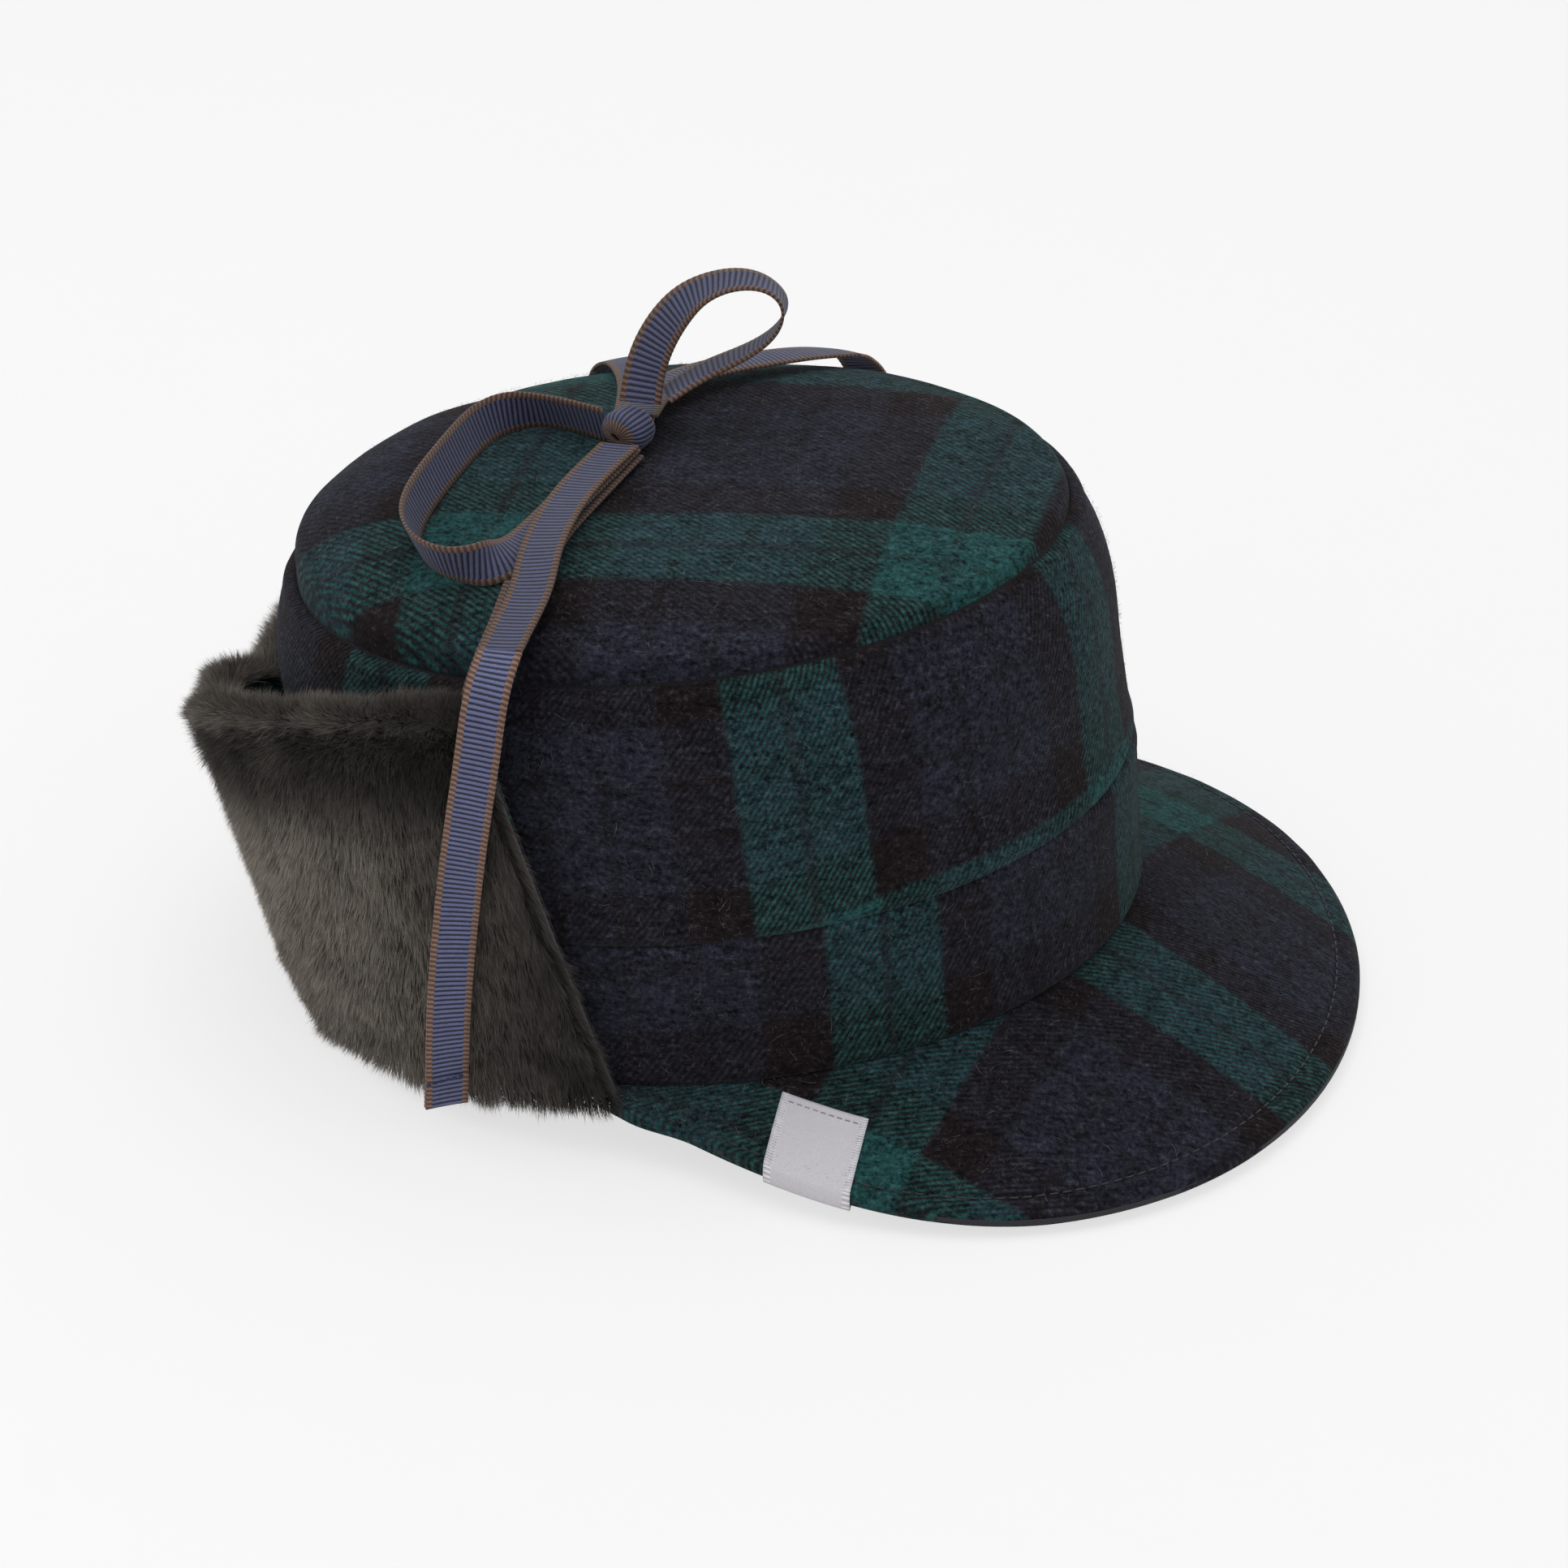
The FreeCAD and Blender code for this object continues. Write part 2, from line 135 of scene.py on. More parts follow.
class Finish:
    # the nodes of a material, or of the world around the scene
    def __init__(self, name, shelf=None):
        self.holder = (bpy.data.materials if shelf is None else shelf).new(name)
        self.holder.use_nodes = True
        self.tree = self.holder.node_tree
        self.tree.nodes.clear()

    def node(self, kind, settings=None, inputs=None, output=0):
        made = self.tree.nodes.new(kind)
        for key, value in (settings or {}).items():
            if key == "stops":
                ramp = made.color_ramp
                while len(ramp.elements) < len(value):
                    ramp.elements.new(0.5)
                for element, (place, tone) in zip(ramp.elements, value):
                    element.position = place
                    element.color = tone
            else:
                setattr(made, key, value)
        for key, value in (inputs or {}).items():
            if isinstance(value, Value):
                self.tree.links.new(value.socket, made.inputs[key])
            else:
                made.inputs[key].default_value = value
        return Value(self, made.outputs[output]) if len(made.outputs) else None

    def blend(self, factor, first, second, how="MIX"):
        settings = {"data_type": "RGBA", "blend_type": how}
        return self.node("ShaderNodeMix", settings, {0: factor, 6: first, 7: second}, 2)

    def shaded(self, tone, level, warmth=(1, 1, 1)):
        # the tone made lighter or darker by level
        parts = {i: level if share == 1 else level * share for i, share in enumerate(warmth)}
        return self.blend(1.0, tone, self.node("ShaderNodeCombineXYZ", {}, parts), "MULTIPLY")

    def surfaceMap(self, layer):
        # the two distances of the piece's own map
        spot = self.node("ShaderNodeUVMap", {"uv_map": layer})
        across = self.node("ShaderNodeSeparateXYZ", {}, {0: spot}, 0)
        along = self.node("ShaderNodeSeparateXYZ", {}, {0: spot}, 1)
        return across, along

    def grain(self, place, scale, detail=2.0, rough=0.6, stretch=None):
        if stretch:
            place = self.node("ShaderNodeVectorMath", {"operation": "MULTIPLY"}, {0: place, 1: stretch})
        inputs = {"Vector": place, "Scale": scale, "Detail": detail, "Roughness": rough}
        return self.node("ShaderNodeTexNoise", {}, inputs)

    def objectPlace(self):
        return self.node("ShaderNodeTexCoord", {}, {}, 3)

    def close(self, colour, roughness, height=None, depth=0.0003, **fixed):
        inputs = {"Base Color": colour, "Roughness": roughness}
        if height is not None:
            inputs["Normal"] = self.node("ShaderNodeBump", {}, {"Height": height, "Distance": depth, "Strength": 1.0})
        for key, value in fixed.items():
            inputs[key.replace("_", " ")] = value
        surface = self.node("ShaderNodeBsdfPrincipled", {}, inputs)
        self.node("ShaderNodeOutputMaterial", {}, {0: surface})
        return self.holder


plaid = {
    "black": srgb(25, 19, 21),
    "navy": srgb(34, 35, 45),
    "green": srgb(30, 66, 66),
    "repeat": 100.0,       # mm from one green stripe to the next
    "greenHalf": 14.2,
    "blackTo": 29.0,
    "twillPitch": 1.75,
    "twillSlope": 0.82,
    "edgeWander": 1.6,
    "guardAt": 43.0,       # a fine dark line in the navy
    "pale": srgb(92, 102, 108),
    "sheen": srgb(160, 160, 165),
}


def stripeTone(finish, place, wander):
    # colour of the yarns of one direction at a distance across its stripes
    width = plaid["repeat"]
    spot = abs((place + wander + 50 * width + width / 2).within(width) - width / 2)
    green = 1 - spot.step(plaid["greenHalf"] - 1.1, plaid["greenHalf"] + 1.1)
    navy = spot.step(plaid["blackTo"] - 2.2, plaid["blackTo"] + 2.2)
    midLine = 1 - spot.step(0.5, 2.1)
    guard = 1 - abs(spot - plaid["guardAt"]).step(0.6, 2.0)
    tone = finish.blend(navy * (1 - guard * 0.55), plaid["black"], plaid["navy"])
    return finish.blend(green * (1 - midLine * 0.5), tone, plaid["green"])


def makePlaid():
    finish = Finish("brushedPlaidWool")
    across, along = finish.surfaceMap("cloth")
    body = finish.objectPlace()
    wander = (finish.grain(body, 220.0, 3.0) - 0.5) * plaid["edgeWander"]
    warp = stripeTone(finish, across * 100, wander)
    weft = stripeTone(finish, along * 100, wander)
    patches = finish.grain(body, 420.0, 2.0)
    turns = (across - along * plaid["twillSlope"]) * (100 * 2 * math.pi / plaid["twillPitch"])
    ribs = (turns + (patches - 0.5) * 3.6).sine()
    share = 0.5 + ribs * (0.16 + patches * 0.50)
    tone = finish.blend(share, warp, weft)
    felt = finish.grain(body, 55.0, 4.0, 0.65)
    nap = finish.grain(body, 900.0, 3.0, 0.7)
    hairs = finish.grain(body, 700.0, 3.0, 0.7, (1.0, 0.35, 1.0))
    specks = (nap - 0.5) * 3.0 + (hairs - 0.5) * 2.6
    level = (0.72 + felt * 0.55 + specks).step(-0.1, 2.1) * 2.0
    tone = finish.shaded(tone, level)
    pale = (nap + hairs).step(1.10, 1.45) * 0.34
    tone = finish.blend(pale, tone, plaid["pale"])
    height = nap * 0.60 + hairs * 0.50 + ribs * patches * 0.22 + felt * 0.5
    return finish.close(tone, 0.92, height, 0.00045, Sheen_Weight=0.10, Sheen_Roughness=0.55,
                        Sheen_Tint=plaid["sheen"], Specular_IOR_Level=0.07)


plush = {
    "stops": [
        (0.0, srgb(34, 30, 27)), (0.35, srgb(92, 86, 79)), (0.8, srgb(160, 152, 143)), (1.0, srgb(190, 181, 171))],
    "warmth": (1, 0.99, 0.975),
}


def makeFur():
    finish = Finish("plushPile")
    across, along = finish.surfaceMap("cloth")
    body = finish.objectPlace()
    patch = finish.grain(body, 60.0, 3.0)
    tone = finish.node("ShaderNodeValToRGB", {"stops": plush["stops"]}, {0: along})
    # across: each strand's random tone times the shade painted on the flap's fur
    level = 0.10 + across * 1.15 + (patch - 0.5) * 0.45
    tone = finish.shaded(tone, level, plush["warmth"])
    return finish.close(tone, 0.72, None, Sheen_Weight=0.12, Sheen_Roughness=0.5, Specular_IOR_Level=0.25)


ribbonTone = {
    "centre": srgb(102, 106, 143),
    # groove: painted shade in the grooves between the ribs; edgePale: painted light on the crests of the brown edge
    # cords
    "groove": srgb(28, 30, 48),
    "edge": srgb(88, 62, 52),
    "edgePale": srgb(140, 112, 96),
    "pitch": 1.35,
    "edgeShare": 0.13,
}


def makeRibbon(name, light):
    finish = Finish(name)
    across, along = finish.surfaceMap("cloth")
    body = finish.objectPlace()
    wear = finish.grain(body, 260.0, 3.0)
    fine = finish.grain(body, 1500.0, 2.0)
    turn = 2 * math.pi / ribbonTone["pitch"]
    rib = ((along * 1000 + (fine - 0.5) * 0.22) * turn).sine()
    hill = rib * 0.5 + 0.5
    # the ribs' crests take the centre colour and the grooves the groove colour, painted shade following the bump
    tone = finish.blend(hill.step(0.08, 0.72), ribbonTone["groove"], ribbonTone["centre"])
    cord = (along * 1000 * turn + across * 9).sine() * 0.5 + 0.5
    # the edge cords are brown, paler on their crests and darker between them as painted light and shade
    border = finish.blend(cord.step(0.2, 0.9), ribbonTone["edge"], ribbonTone["edgePale"])
    sideFrom = 0.5 - ribbonTone["edgeShare"]
    side = abs(across - 0.5).step(sideFrom - 0.02, sideFrom + 0.02)
    tone = finish.blend(side, tone, border)
    # light scales the ribbon's whole tone: painted light above 1, painted shade below 1
    level = (0.66 + wear * 0.38 + fine * 0.3) * light
    tone = finish.shaded(tone, level)
    height = hill * (1 - side) + cord * side * 1.2 + fine * 0.3
    return finish.close(tone, 0.68, height, 0.00022, Sheen_Weight=0.1, Specular_IOR_Level=0.3)


def makeWeave(name, dark, light, pitch, rough=0.85, depth=0.00012, sheen=0.05):
    # plain woven or ribbed cloth in object space
    finish = Finish(name)
    body = finish.objectPlace()
    parts = [finish.node("ShaderNodeSeparateXYZ", {}, {0: body}, i) for i in range(3)]
    turn = 2 * math.pi / pitch
    over = ((parts[0] + parts[2] * 0.35) * turn).sine()
    under = ((parts[1] + parts[2]) * turn).sine()
    fine = finish.grain(body, 900.0, 3.0)
    broad = finish.grain(body, 40.0, 3.0)
    height = over * under * 0.5 + 0.5
    # the threads' crests take the light colour and the hollows the dark one: painted shade in the weave, with random
    # tone from the grain on top
    tone = finish.blend(height * 0.6 + fine * 0.3 + broad * 0.2, dark, light)
    return finish.close(tone, rough, height + fine * 0.5, depth, Sheen_Weight=sheen)


labelTone = {
    "face": srgb(218, 214, 221),
    # dip: painted shade in the dips between the overlock stitches
    "dip": srgb(190, 187, 195),
    "thread": srgb(252, 250, 253),
    "warpPitch": 0.42,
    "weftPitch": 0.55,
    "overlockPitch": 0.8,
}


def makeLabel():
    finish = Finish("wovenLabel")
    across, along = finish.surfaceMap("cloth")
    body = finish.objectPlace()
    turn = 1000 * 2 * math.pi
    warp = (across * (turn / labelTone["warpPitch"])).sine()
    thread = warp * (along * (turn / labelTone["weftPitch"])).sine()
    fine = finish.grain(body, 1200.0, 2.0)
    border = abs(across * 1000).step(8.1, 8.4)
    ribs = (along * (turn / labelTone["overlockPitch"])).sine() * 0.5 + 0.5
    overlock = finish.blend(ribs, labelTone["dip"], labelTone["thread"])
    tone = finish.blend(border, labelTone["face"], overlock)
    # a little lighter on the crests of the weave as painted light, with random tone from the grain
    level = 0.9 + thread * 0.05 + fine * 0.14
    tone = finish.shaded(tone, level)
    return finish.close(tone, 0.62, thread * 0.5 + fine, 0.00010, Sheen_Weight=0.1)


wool = makePlaid()
fur = makeFur()
# one ribbon in two copies: lightened a little for the hanging tails and hems, darkened for the bow, knot, ties and
# upper tails, as painted light and painted shade
ribbon = makeRibbon("grosgrainRibbon", 1.06)
paintedShadeRibbon = makeRibbon("grosgrainRibbonPaintedShade", 0.60)
lining = makeWeave("satinLining", srgb(30, 32, 42), srgb(48, 51, 66), 0.0012, 0.45, 0.00005)
bandCloth = makeWeave("sweatbandTwill", srgb(24, 23, 25), srgb(46, 44, 46), 0.0010, 0.8)
facingCloth = makeWeave("facingTwill", srgb(28, 27, 30), srgb(52, 50, 54), 0.0012, 0.85)
canvas = makeWeave("stiffInterlining", srgb(150, 146, 136), srgb(196, 192, 180), 0.0014, 0.9)
boardCard = makeWeave("brimBoardCard", srgb(120, 112, 100), srgb(166, 158, 142), 0.0030, 0.9)
bindingCloth = makeWeave("edgeBinding", srgb(26, 25, 28), srgb(44, 43, 48), 0.0010, 0.85)
labelCloth = makeLabel()
darkThread = makeWeave("darkThread", srgb(26, 25, 28), srgb(58, 57, 62), 0.0005, 0.7)
paleThread = makeWeave("paleThread", srgb(214, 212, 220), srgb(250, 249, 252), 0.0005, 0.6)
hemThread = makeWeave("hemThread", srgb(28, 30, 62), srgb(52, 56, 98), 0.0005, 0.7)
greyThread = makeWeave("greyThread", srgb(128, 124, 136), srgb(168, 164, 176), 0.0005, 0.6)
strayFibre = makeWeave("strayFibre", srgb(74, 82, 86), srgb(132, 136, 134), 0.004, 0.8)
napFibre = makeWeave("napFibre", srgb(48, 56, 62), srgb(84, 96, 100), 0.05, 0.85)
print("finishes made")

# the crown's own sizes, in millimetres, upright, front towards -Y
hat = {
    "baseLength": 204.4, "baseWidth": 168.2,
    "bandHeight": 39.2, "bandLength": 203.4, "bandWidth": 170.2,
    "tipHeight": 103.7, "tipLength": 188.4, "tipWidth": 154.4,
    "setForward": 2.8, "bulgeLength": 4.6, "bulgeWidth": 3.2,
    "tipRise": 15.8, "tipLean": 0.005, "tipPower": 0.53,
    "lean": math.radians(-8.0),
}
leaning = Matrix.Rotation(hat["lean"], 3, "X")


def mix(first, second, share):
    return first + (second - first) * share


def ease(share):
    share = min(1.0, max(0.0, share))
    return share * share * (3 - 2 * share)


def leaned(point):
    return leaning @ point


def crownOval(height):
    if height <= hat["bandHeight"]:
        share = height / hat["bandHeight"]
        length = mix(hat["baseLength"], hat["bandLength"], share)
        width = mix(hat["baseWidth"], hat["bandWidth"], share)
        return -hat["setForward"] * share, length / 2, width / 2
    share = (height - hat["bandHeight"]) / (hat["tipHeight"] - hat["bandHeight"])
    swell = math.sin(math.pi * share ** 2) ** 0.8 if 0 < share < 1 else 0
    length = mix(hat["bandLength"], hat["tipLength"], share) / 2 + hat["bulgeLength"] * swell
    width = mix(hat["bandWidth"], hat["tipWidth"], share) / 2 + hat["bulgeWidth"] * swell
    return -hat["setForward"], length, width


def wallPoint(angle, height, inset=0.0):
    shift, halfLength, halfWidth = crownOval(height)
    turn = math.radians(angle)
    return Vector(((halfWidth - inset) * math.sin(turn), shift - (halfLength - inset) * math.cos(turn), height))


def tipPoint(angle, reach, inset=0.0):
    turn = math.radians(angle)
    rise = (hat["tipRise"] - inset) * math.sqrt(max(0.0, 1 - reach ** (2 / hat["tipPower"])))
    y = -hat["setForward"] - (hat["tipLength"] / 2 - inset) * reach * math.cos(turn)
    x = (hat["tipWidth"] / 2 - inset) * reach * math.sin(turn)
    return Vector((x, y, hat["tipHeight"] + rise + rise * hat["tipLean"] * (y + hat["setForward"])))


def wander(point, scale, amount):
    return noise.noise(point / (scale * mm)) * amount * mm


def finishPiece(name, bm, material, smooth=True):
    mesh = bpy.data.meshes.new(name)
    bm.to_mesh(mesh)
    bm.free()
    mesh.materials.append(material)
    if smooth:
        for polygon in mesh.polygons:
            polygon.use_smooth = True
    piece = bpy.data.objects.new(name, mesh)
    bpy.context.scene.collection.objects.link(piece)
    return piece


def clothPiece(name, across, along, place, pattern, material, relief=None, away=None, thick=0.0, offset=-1.0):
    # a grid laid where place says, in millimetres, with its map in pattern's distances
    bm = bmesh.new()
    bmesh.ops.create_grid(bm, x_segments=across, y_segments=along, size=0.5)
    layer = bm.loops.layers.uv.new("cloth")
    acrossAt = bm.verts.layers.float.new("acrossAt")
    alongAt = bm.verts.layers.float.new("alongAt")
    for vert in bm.verts:
        vert[acrossAt] = vert.co.x + 0.5
        vert[alongAt] = vert.co.y + 0.5
    for face in bm.faces:
        for loop in face.loops:
            loop[layer].uv = pattern(loop.vert[acrossAt], loop.vert[alongAt])
    for vert in bm.verts:
        vert.co = place(vert[acrossAt], vert[alongAt]) * mm
    bmesh.ops.remove_doubles(bm, verts=bm.verts, dist=2e-6)
    bm.normal_update()
    if away is not None:
        facing = sum(face.normal.dot(away(face.calc_center_median())) * face.calc_area() for face in bm.faces)
        if facing < 0:
            bmesh.ops.reverse_faces(bm, faces=bm.faces)
            bm.normal_update()
    if relief:
        moves = [(vert, vert.normal * relief(vert[acrossAt], vert[alongAt], vert.co)) for vert in bm.verts]
        for vert, move in moves:
            vert.co += move
    piece = finishPiece(name, bm, material)
    if thick:
        wall = piece.modifiers.new("thickness", "SOLIDIFY")
        wall.thickness = thick * mm
        wall.offset = offset
    return piece


headMiddle = Vector((0, 0, 0.045))


def hold(piece, body, node):
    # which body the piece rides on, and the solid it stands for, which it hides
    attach(piece, body)
    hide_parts(node)


def awayFromHead(point):
    return point - headMiddle


def towardsHead(point):
    return headMiddle - point


def follow(stops, value):
    # straight runs between the stops
    for (low, first), (high, second) in zip(stops, stops[1:]):
        if value <= high or (high, second) == stops[-1]:
            return mix(first, second, (value - low) / (high - low))


# where the stripes fall: angle round the crown to distance across the stripes
sideStripes = [(-180, -185), (-77.4, -15), (-59.8, 15), (-21, 85), (-4, 115), (60, 215), (180, 400)]
bandStripes = [(-180, -195), (-68.4, -15), (-51.2, 15), (-13.8, 85), (3, 115), (60, 205), (180, 390)]
crown = {
    "round": 320, "wallRows": 80, "bandRows": 48, "tipRows": 80, "cloth": 1.6,
    "groove": 1.1, "ridge": 0.6,
    "tipSpacing": 1.8,      # closes the tip's rings up towards its seam
    "liningInset": 3.1, "bandInset": 4.65, "liningThick": 0.3, "bandThick": 0.9,
    "sweatbandTop": 32.0, "facingTop": 15.9,
}


def seamRelief(distance, groove, ridge):
    # sunk at the seam, a pressed ridge beside it
    sink = -groove * math.exp(-(distance / 1.15) ** 2)
    swell = ridge * math.exp(-((distance - 3.0) / 1.5) ** 2)
    return (sink + swell) * mm


def clothWander(point):
    return wander(point, 34, 0.75) + wander(point + Vector((0.3, 0.1, 0)), 13, 0.22) + wander(point, 3.2, 0.05)


def sideRelief(across, along, point):
    below = (1 - along) * (hat["tipHeight"] - hat["bandHeight"])
    above = along * (hat["tipHeight"] - hat["bandHeight"])
    fade = min(1.0, below / 4, above / 4)
    seams = seamRelief(below, crown["groove"], crown["ridge"]) + seamRelief(above, 0.8, 0.35)
    return seams + clothWander(point) * fade


def bandRelief(across, along, point):
    below = (1 - along) * hat["bandHeight"]
    above = along * hat["bandHeight"]
    fade = min(1.0, below / 4, above / 4)
    return seamRelief(below, 0.8, 0.3) + seamRelief(above, 0.5, 0.25) + clothWander(point) * fade


def tipRelief(across, along, point):
    inward = along ** crown["tipSpacing"] * 80
    return seamRelief(inward, crown["groove"], crown["ridge"]) + clothWander(point) * 1.2 * min(1.0, inward / 5)


def tipMap(across, along):
    angle = across * 360 - 180
    point = tipPoint(angle, 1 - along ** crown["tipSpacing"])
    crossing = 34 - 0.09 * (point.x + 20)
    return (point.x + 36.5) / 100, (point.y - crossing) / 109


def sideWeft(angle, height):
    # the green strip over the band runs out behind the side stripe
    return height - 30.5 + 6.5 * ease((-54 - angle) / 24)


def roundAngle(share):
    # once round the crown, from the back
    return share * 360 - 180


def wallSheet(low, high, inset=0.0):
    return lambda a, b: leaned(wallPoint(roundAngle(a), mix(low, high, b), inset))


def tipSheet(inset=0.0):
    return lambda a, b: leaned(tipPoint(roundAngle(a), 1 - b ** crown["tipSpacing"], inset))


def sideMap(a, b):
    height = mix(hat["bandHeight"], hat["tipHeight"], b)
    return follow(sideStripes, roundAngle(a)) / 100, sideWeft(roundAngle(a), height) / 100


def bandMap(a, b):
    return follow(bandStripes, roundAngle(a)) / 100, (15.5 + b * hat["bandHeight"] * 0.85) / 100


def insideMap(a, b):
    return a * 6, b


def makeCrown():
    low, high = hat["bandHeight"], hat["tipHeight"]
    outer = (
        ("sideCloth", "wallRows", wallSheet(low, high), sideMap, sideRelief, "side_wool"),
        ("bandCloth", "bandRows", wallSheet(0, low), bandMap, bandRelief, "lower_band_wool"),
        ("tipCloth", "tipRows", tipSheet(), tipMap, tipRelief, "tip_wool"),
    )
    for name, rows, place, pattern, relief, node in outer:
        piece = clothPiece(
            name, crown["round"], crown[rows], place, pattern, wool, relief, awayFromHead, crown["cloth"])
        hold(piece, "crown", node)
    inset, thin = crown["liningInset"], crown["liningThick"]
    inner = (
        ("tipLiningCloth", 160, 40, tipSheet(inset), lining,
         lambda a, b, p: wander(p, 16, 0.35) * min(1, b * 8), thin, "tip_lining", "lining"),
        ("sideLiningCloth", 200, 50, wallSheet(16.0, high, inset), lining,
         lambda a, b, p: wander(p, 18, 0.3) * min(1, b * 8, (1 - b) * 8), thin, "side_lining", "lining"),
        ("sweatbandCloth", 200, 20, wallSheet(0.3, crown["sweatbandTop"], crown["bandInset"]), bandCloth,
         lambda a, b, p: (0.25 * math.sin(math.pi * b) ** 0.5) * mm, crown["bandThick"], "sweatband", "sweatband"),
        ("bandFacingCloth", 200, 8, wallSheet(0.1, crown["facingTop"], inset), facingCloth,
         None, thin, "sweatband_facing", "lining"),
    )
    for name, across, along, place, material, relief, thick, node, slot in inner:
        piece = clothPiece(name, across, along, place, insideMap, material, relief, towardsHead, thick)
        hold(piece, "crown", node)


makeCrown()
print("crown made")

# brim
brim = {
    "length": 54.7, "flare": 9.6, "end": 98.0, "level": 49.7, "tuck": 2.4, "drop": 12.0,
    "side": 97.6, "thick": 4.0, "camber": 1.3, "turn": math.radians(19.5), "endReach": 4.0,
    "rollAt": 0.86, "rollReach": 0.965, "stitchAt": 0.93, "stitches": 150, "cloth": 0.9,
}


def outward(angle):
    turn = math.radians(angle)
    return Vector((math.sin(turn) / hat["baseWidth"], -math.cos(turn) / hat["baseLength"], 0)).normalized()


def openingPoint(angle, outset=0.0, height=0.0):
    turn = math.radians(angle)
    point = Vector((hat["baseWidth"] / 2 * math.sin(turn), -hat["baseLength"] / 2 * math.cos(turn), height))
    return point + outward(angle) * outset


def brimPoint(angle, share, drop=0.0):
    part = abs(angle) / (brim["end"] + 0.7)
    reach = brim["length"] * math.cos(part * math.pi / 2) + brim["flare"] * math.sin(part * math.pi) ** 2
    reach += brim["endReach"] * ease((abs(angle) - 86) / 9)
    root = leaned(openingPoint(angle, -brim["tuck"]))
    seam = leaned(openingPoint(angle))
    out = leaned(outward(angle))
    out.z = 0
    out.normalize()
    rise = max(0.0, (abs(angle) - brim["level"]) / (brim["end"] - brim["level"])) ** 1.7
    edge = seam + out * reach
    edge.z = mix(-brim["drop"], seam.z, rise)
    point = root + (edge - root) * share
    point.z -= drop
    return point


def brimSection(share):
    # along the top, round the rolled edge; gives share of the reach and drop below the top
    if share < brim["rollAt"]:
        along = share / brim["rollAt"]
        camber = brim["camber"] * math.sin(math.pi * along) ** 0.8
        groove = 0.6 * math.exp(-((along - brim["stitchAt"]) / 0.016) ** 2)
        return along * brim["rollReach"], -camber * 0.6 + groove
    turn = (share - brim["rollAt"]) / (1 - brim["rollAt"]) * math.pi
    return mix(brim["rollReach"], 1, math.sin(turn)), brim["thick"] / 2 * (1 - math.cos(turn))


def brimMap(across, along):
    angle = mix(-brim["side"], brim["side"], across)
    point = brimPoint(angle, brimSection(along)[0])
    side = point.x * math.cos(brim["turn"]) - point.y * math.sin(brim["turn"])
    ahead = -point.x * math.sin(brim["turn"]) - point.y * math.cos(brim["turn"])
    # the stripes lie closer together past the first one
    stripe = 14.8 + (side - 19.8) * 1.32 if side > 19.8 else (side - 6.5) * 1.11
    return stripe / 100, (ahead - 75) / 100


def brimPlace(across, along):
    share, drop = brimSection(along)
    return brimPoint(mix(-brim["side"], brim["side"], across), share, drop)


def makeBrim():
    top = clothPiece(
        "brimTopCloth", 260, 64, brimPlace, brimMap, wool,
        lambda a, b, p: (wander(p, 26, 0.4) + wander(p, 9, 0.15)) * min(1, (1 - b) * 6, b * 6),
        lambda p: Vector((0, 0, 1)), brim["cloth"])
    under = clothPiece(
        "brimUnderCloth", 220, 36,
        lambda a, b: brimPoint(mix(-brim["side"], brim["side"], a), b * 0.968, brim["thick"] - 0.35),
        lambda a, b: brimMap(a, b * 0.86), wool,
        lambda a, b, p: wander(p, 24, 0.25) * min(1, (1 - b) * 6),
        lambda p: Vector((0, 0, -1)), brim["cloth"])
    for piece, node in ((top, "brim_top_wool"), (under, "brim_under_wool")):
        hold(piece, "crown", node)


makeBrim()
print("brim made")


def stitchRow(name, marks, material, radius):
    # short sewn stitches, each a low arch between its two holes; marks are (start, end, up)
    bm = bmesh.new()
    for start, end, up in marks:
        reach = (end - start).length
        made = bmesh.ops.create_cone(bm, cap_ends=True, segments=6, radius1=radius, radius2=radius, depth=reach)
        along = (end - start).normalized()
        side = along.cross(up).normalized()
        turn = Matrix((side, along.cross(side), along)).transposed().to_4x4()
        turn.translation = (start + end) / 2 + up * radius * 0.8
        bmesh.ops.transform(bm, matrix=turn, verts=made["verts"])
    for vert in bm.verts:
        vert.co *= mm
    bmesh.ops.recalc_face_normals(bm, faces=bm.faces)
    return finishPiece(name, bm, material)


def makeBrimStitches():
    marks = []
    share = brim["rollReach"] * brim["stitchAt"]
    count = brim["stitches"]
    for i in range(count):
        first = mix(-brim["side"], brim["side"], (i + 0.18) / count)
        last = mix(-brim["side"], brim["side"], (i + 0.82) / count)
        marks.append((brimPoint(first, share, 0.25), brimPoint(last, share, 0.25), Vector((0, 0, 1))))
    piece = stitchRow("brimTopstitches", marks, darkThread, 0.22)
    hold(piece, "crown", "brim_topstitching")


makeBrimStitches()

# label folded over the brim's edge
label = {
    "corners": ((-103.4, -24.9), (-108.4, -45.8)), "inward": (0.985, -0.09), "depth": 18.5,
    "lift": 0.6, "under": 12.0, "foldFrom": 0.46, "foldTo": 0.56, "thick": 0.35,
    "width": 0.020, "length": 0.044, "topStitches": 9, "sideStitches": 30, "sidePitch": 0.0152,
}


def brimBeside(x, y):
    # the brim's top above a point of the plan, by closing in on its angle and share
    angle, share = -72.0, 0.8
    for _ in range(8):
        here = brimPoint(angle, share)
        aside = (brimPoint(angle + 0.1, share) - here) / 0.1
        ahead = (brimPoint(angle, share + 0.01) - here) / 0.01
        gapX, gapY = x - here.x, y - here.y
        spread = aside.x * ahead.y - aside.y * ahead.x
        angle += (gapX * ahead.y - gapY * ahead.x) / spread
        share += (aside.x * gapY - aside.y * gapX) / spread
    return angle, share


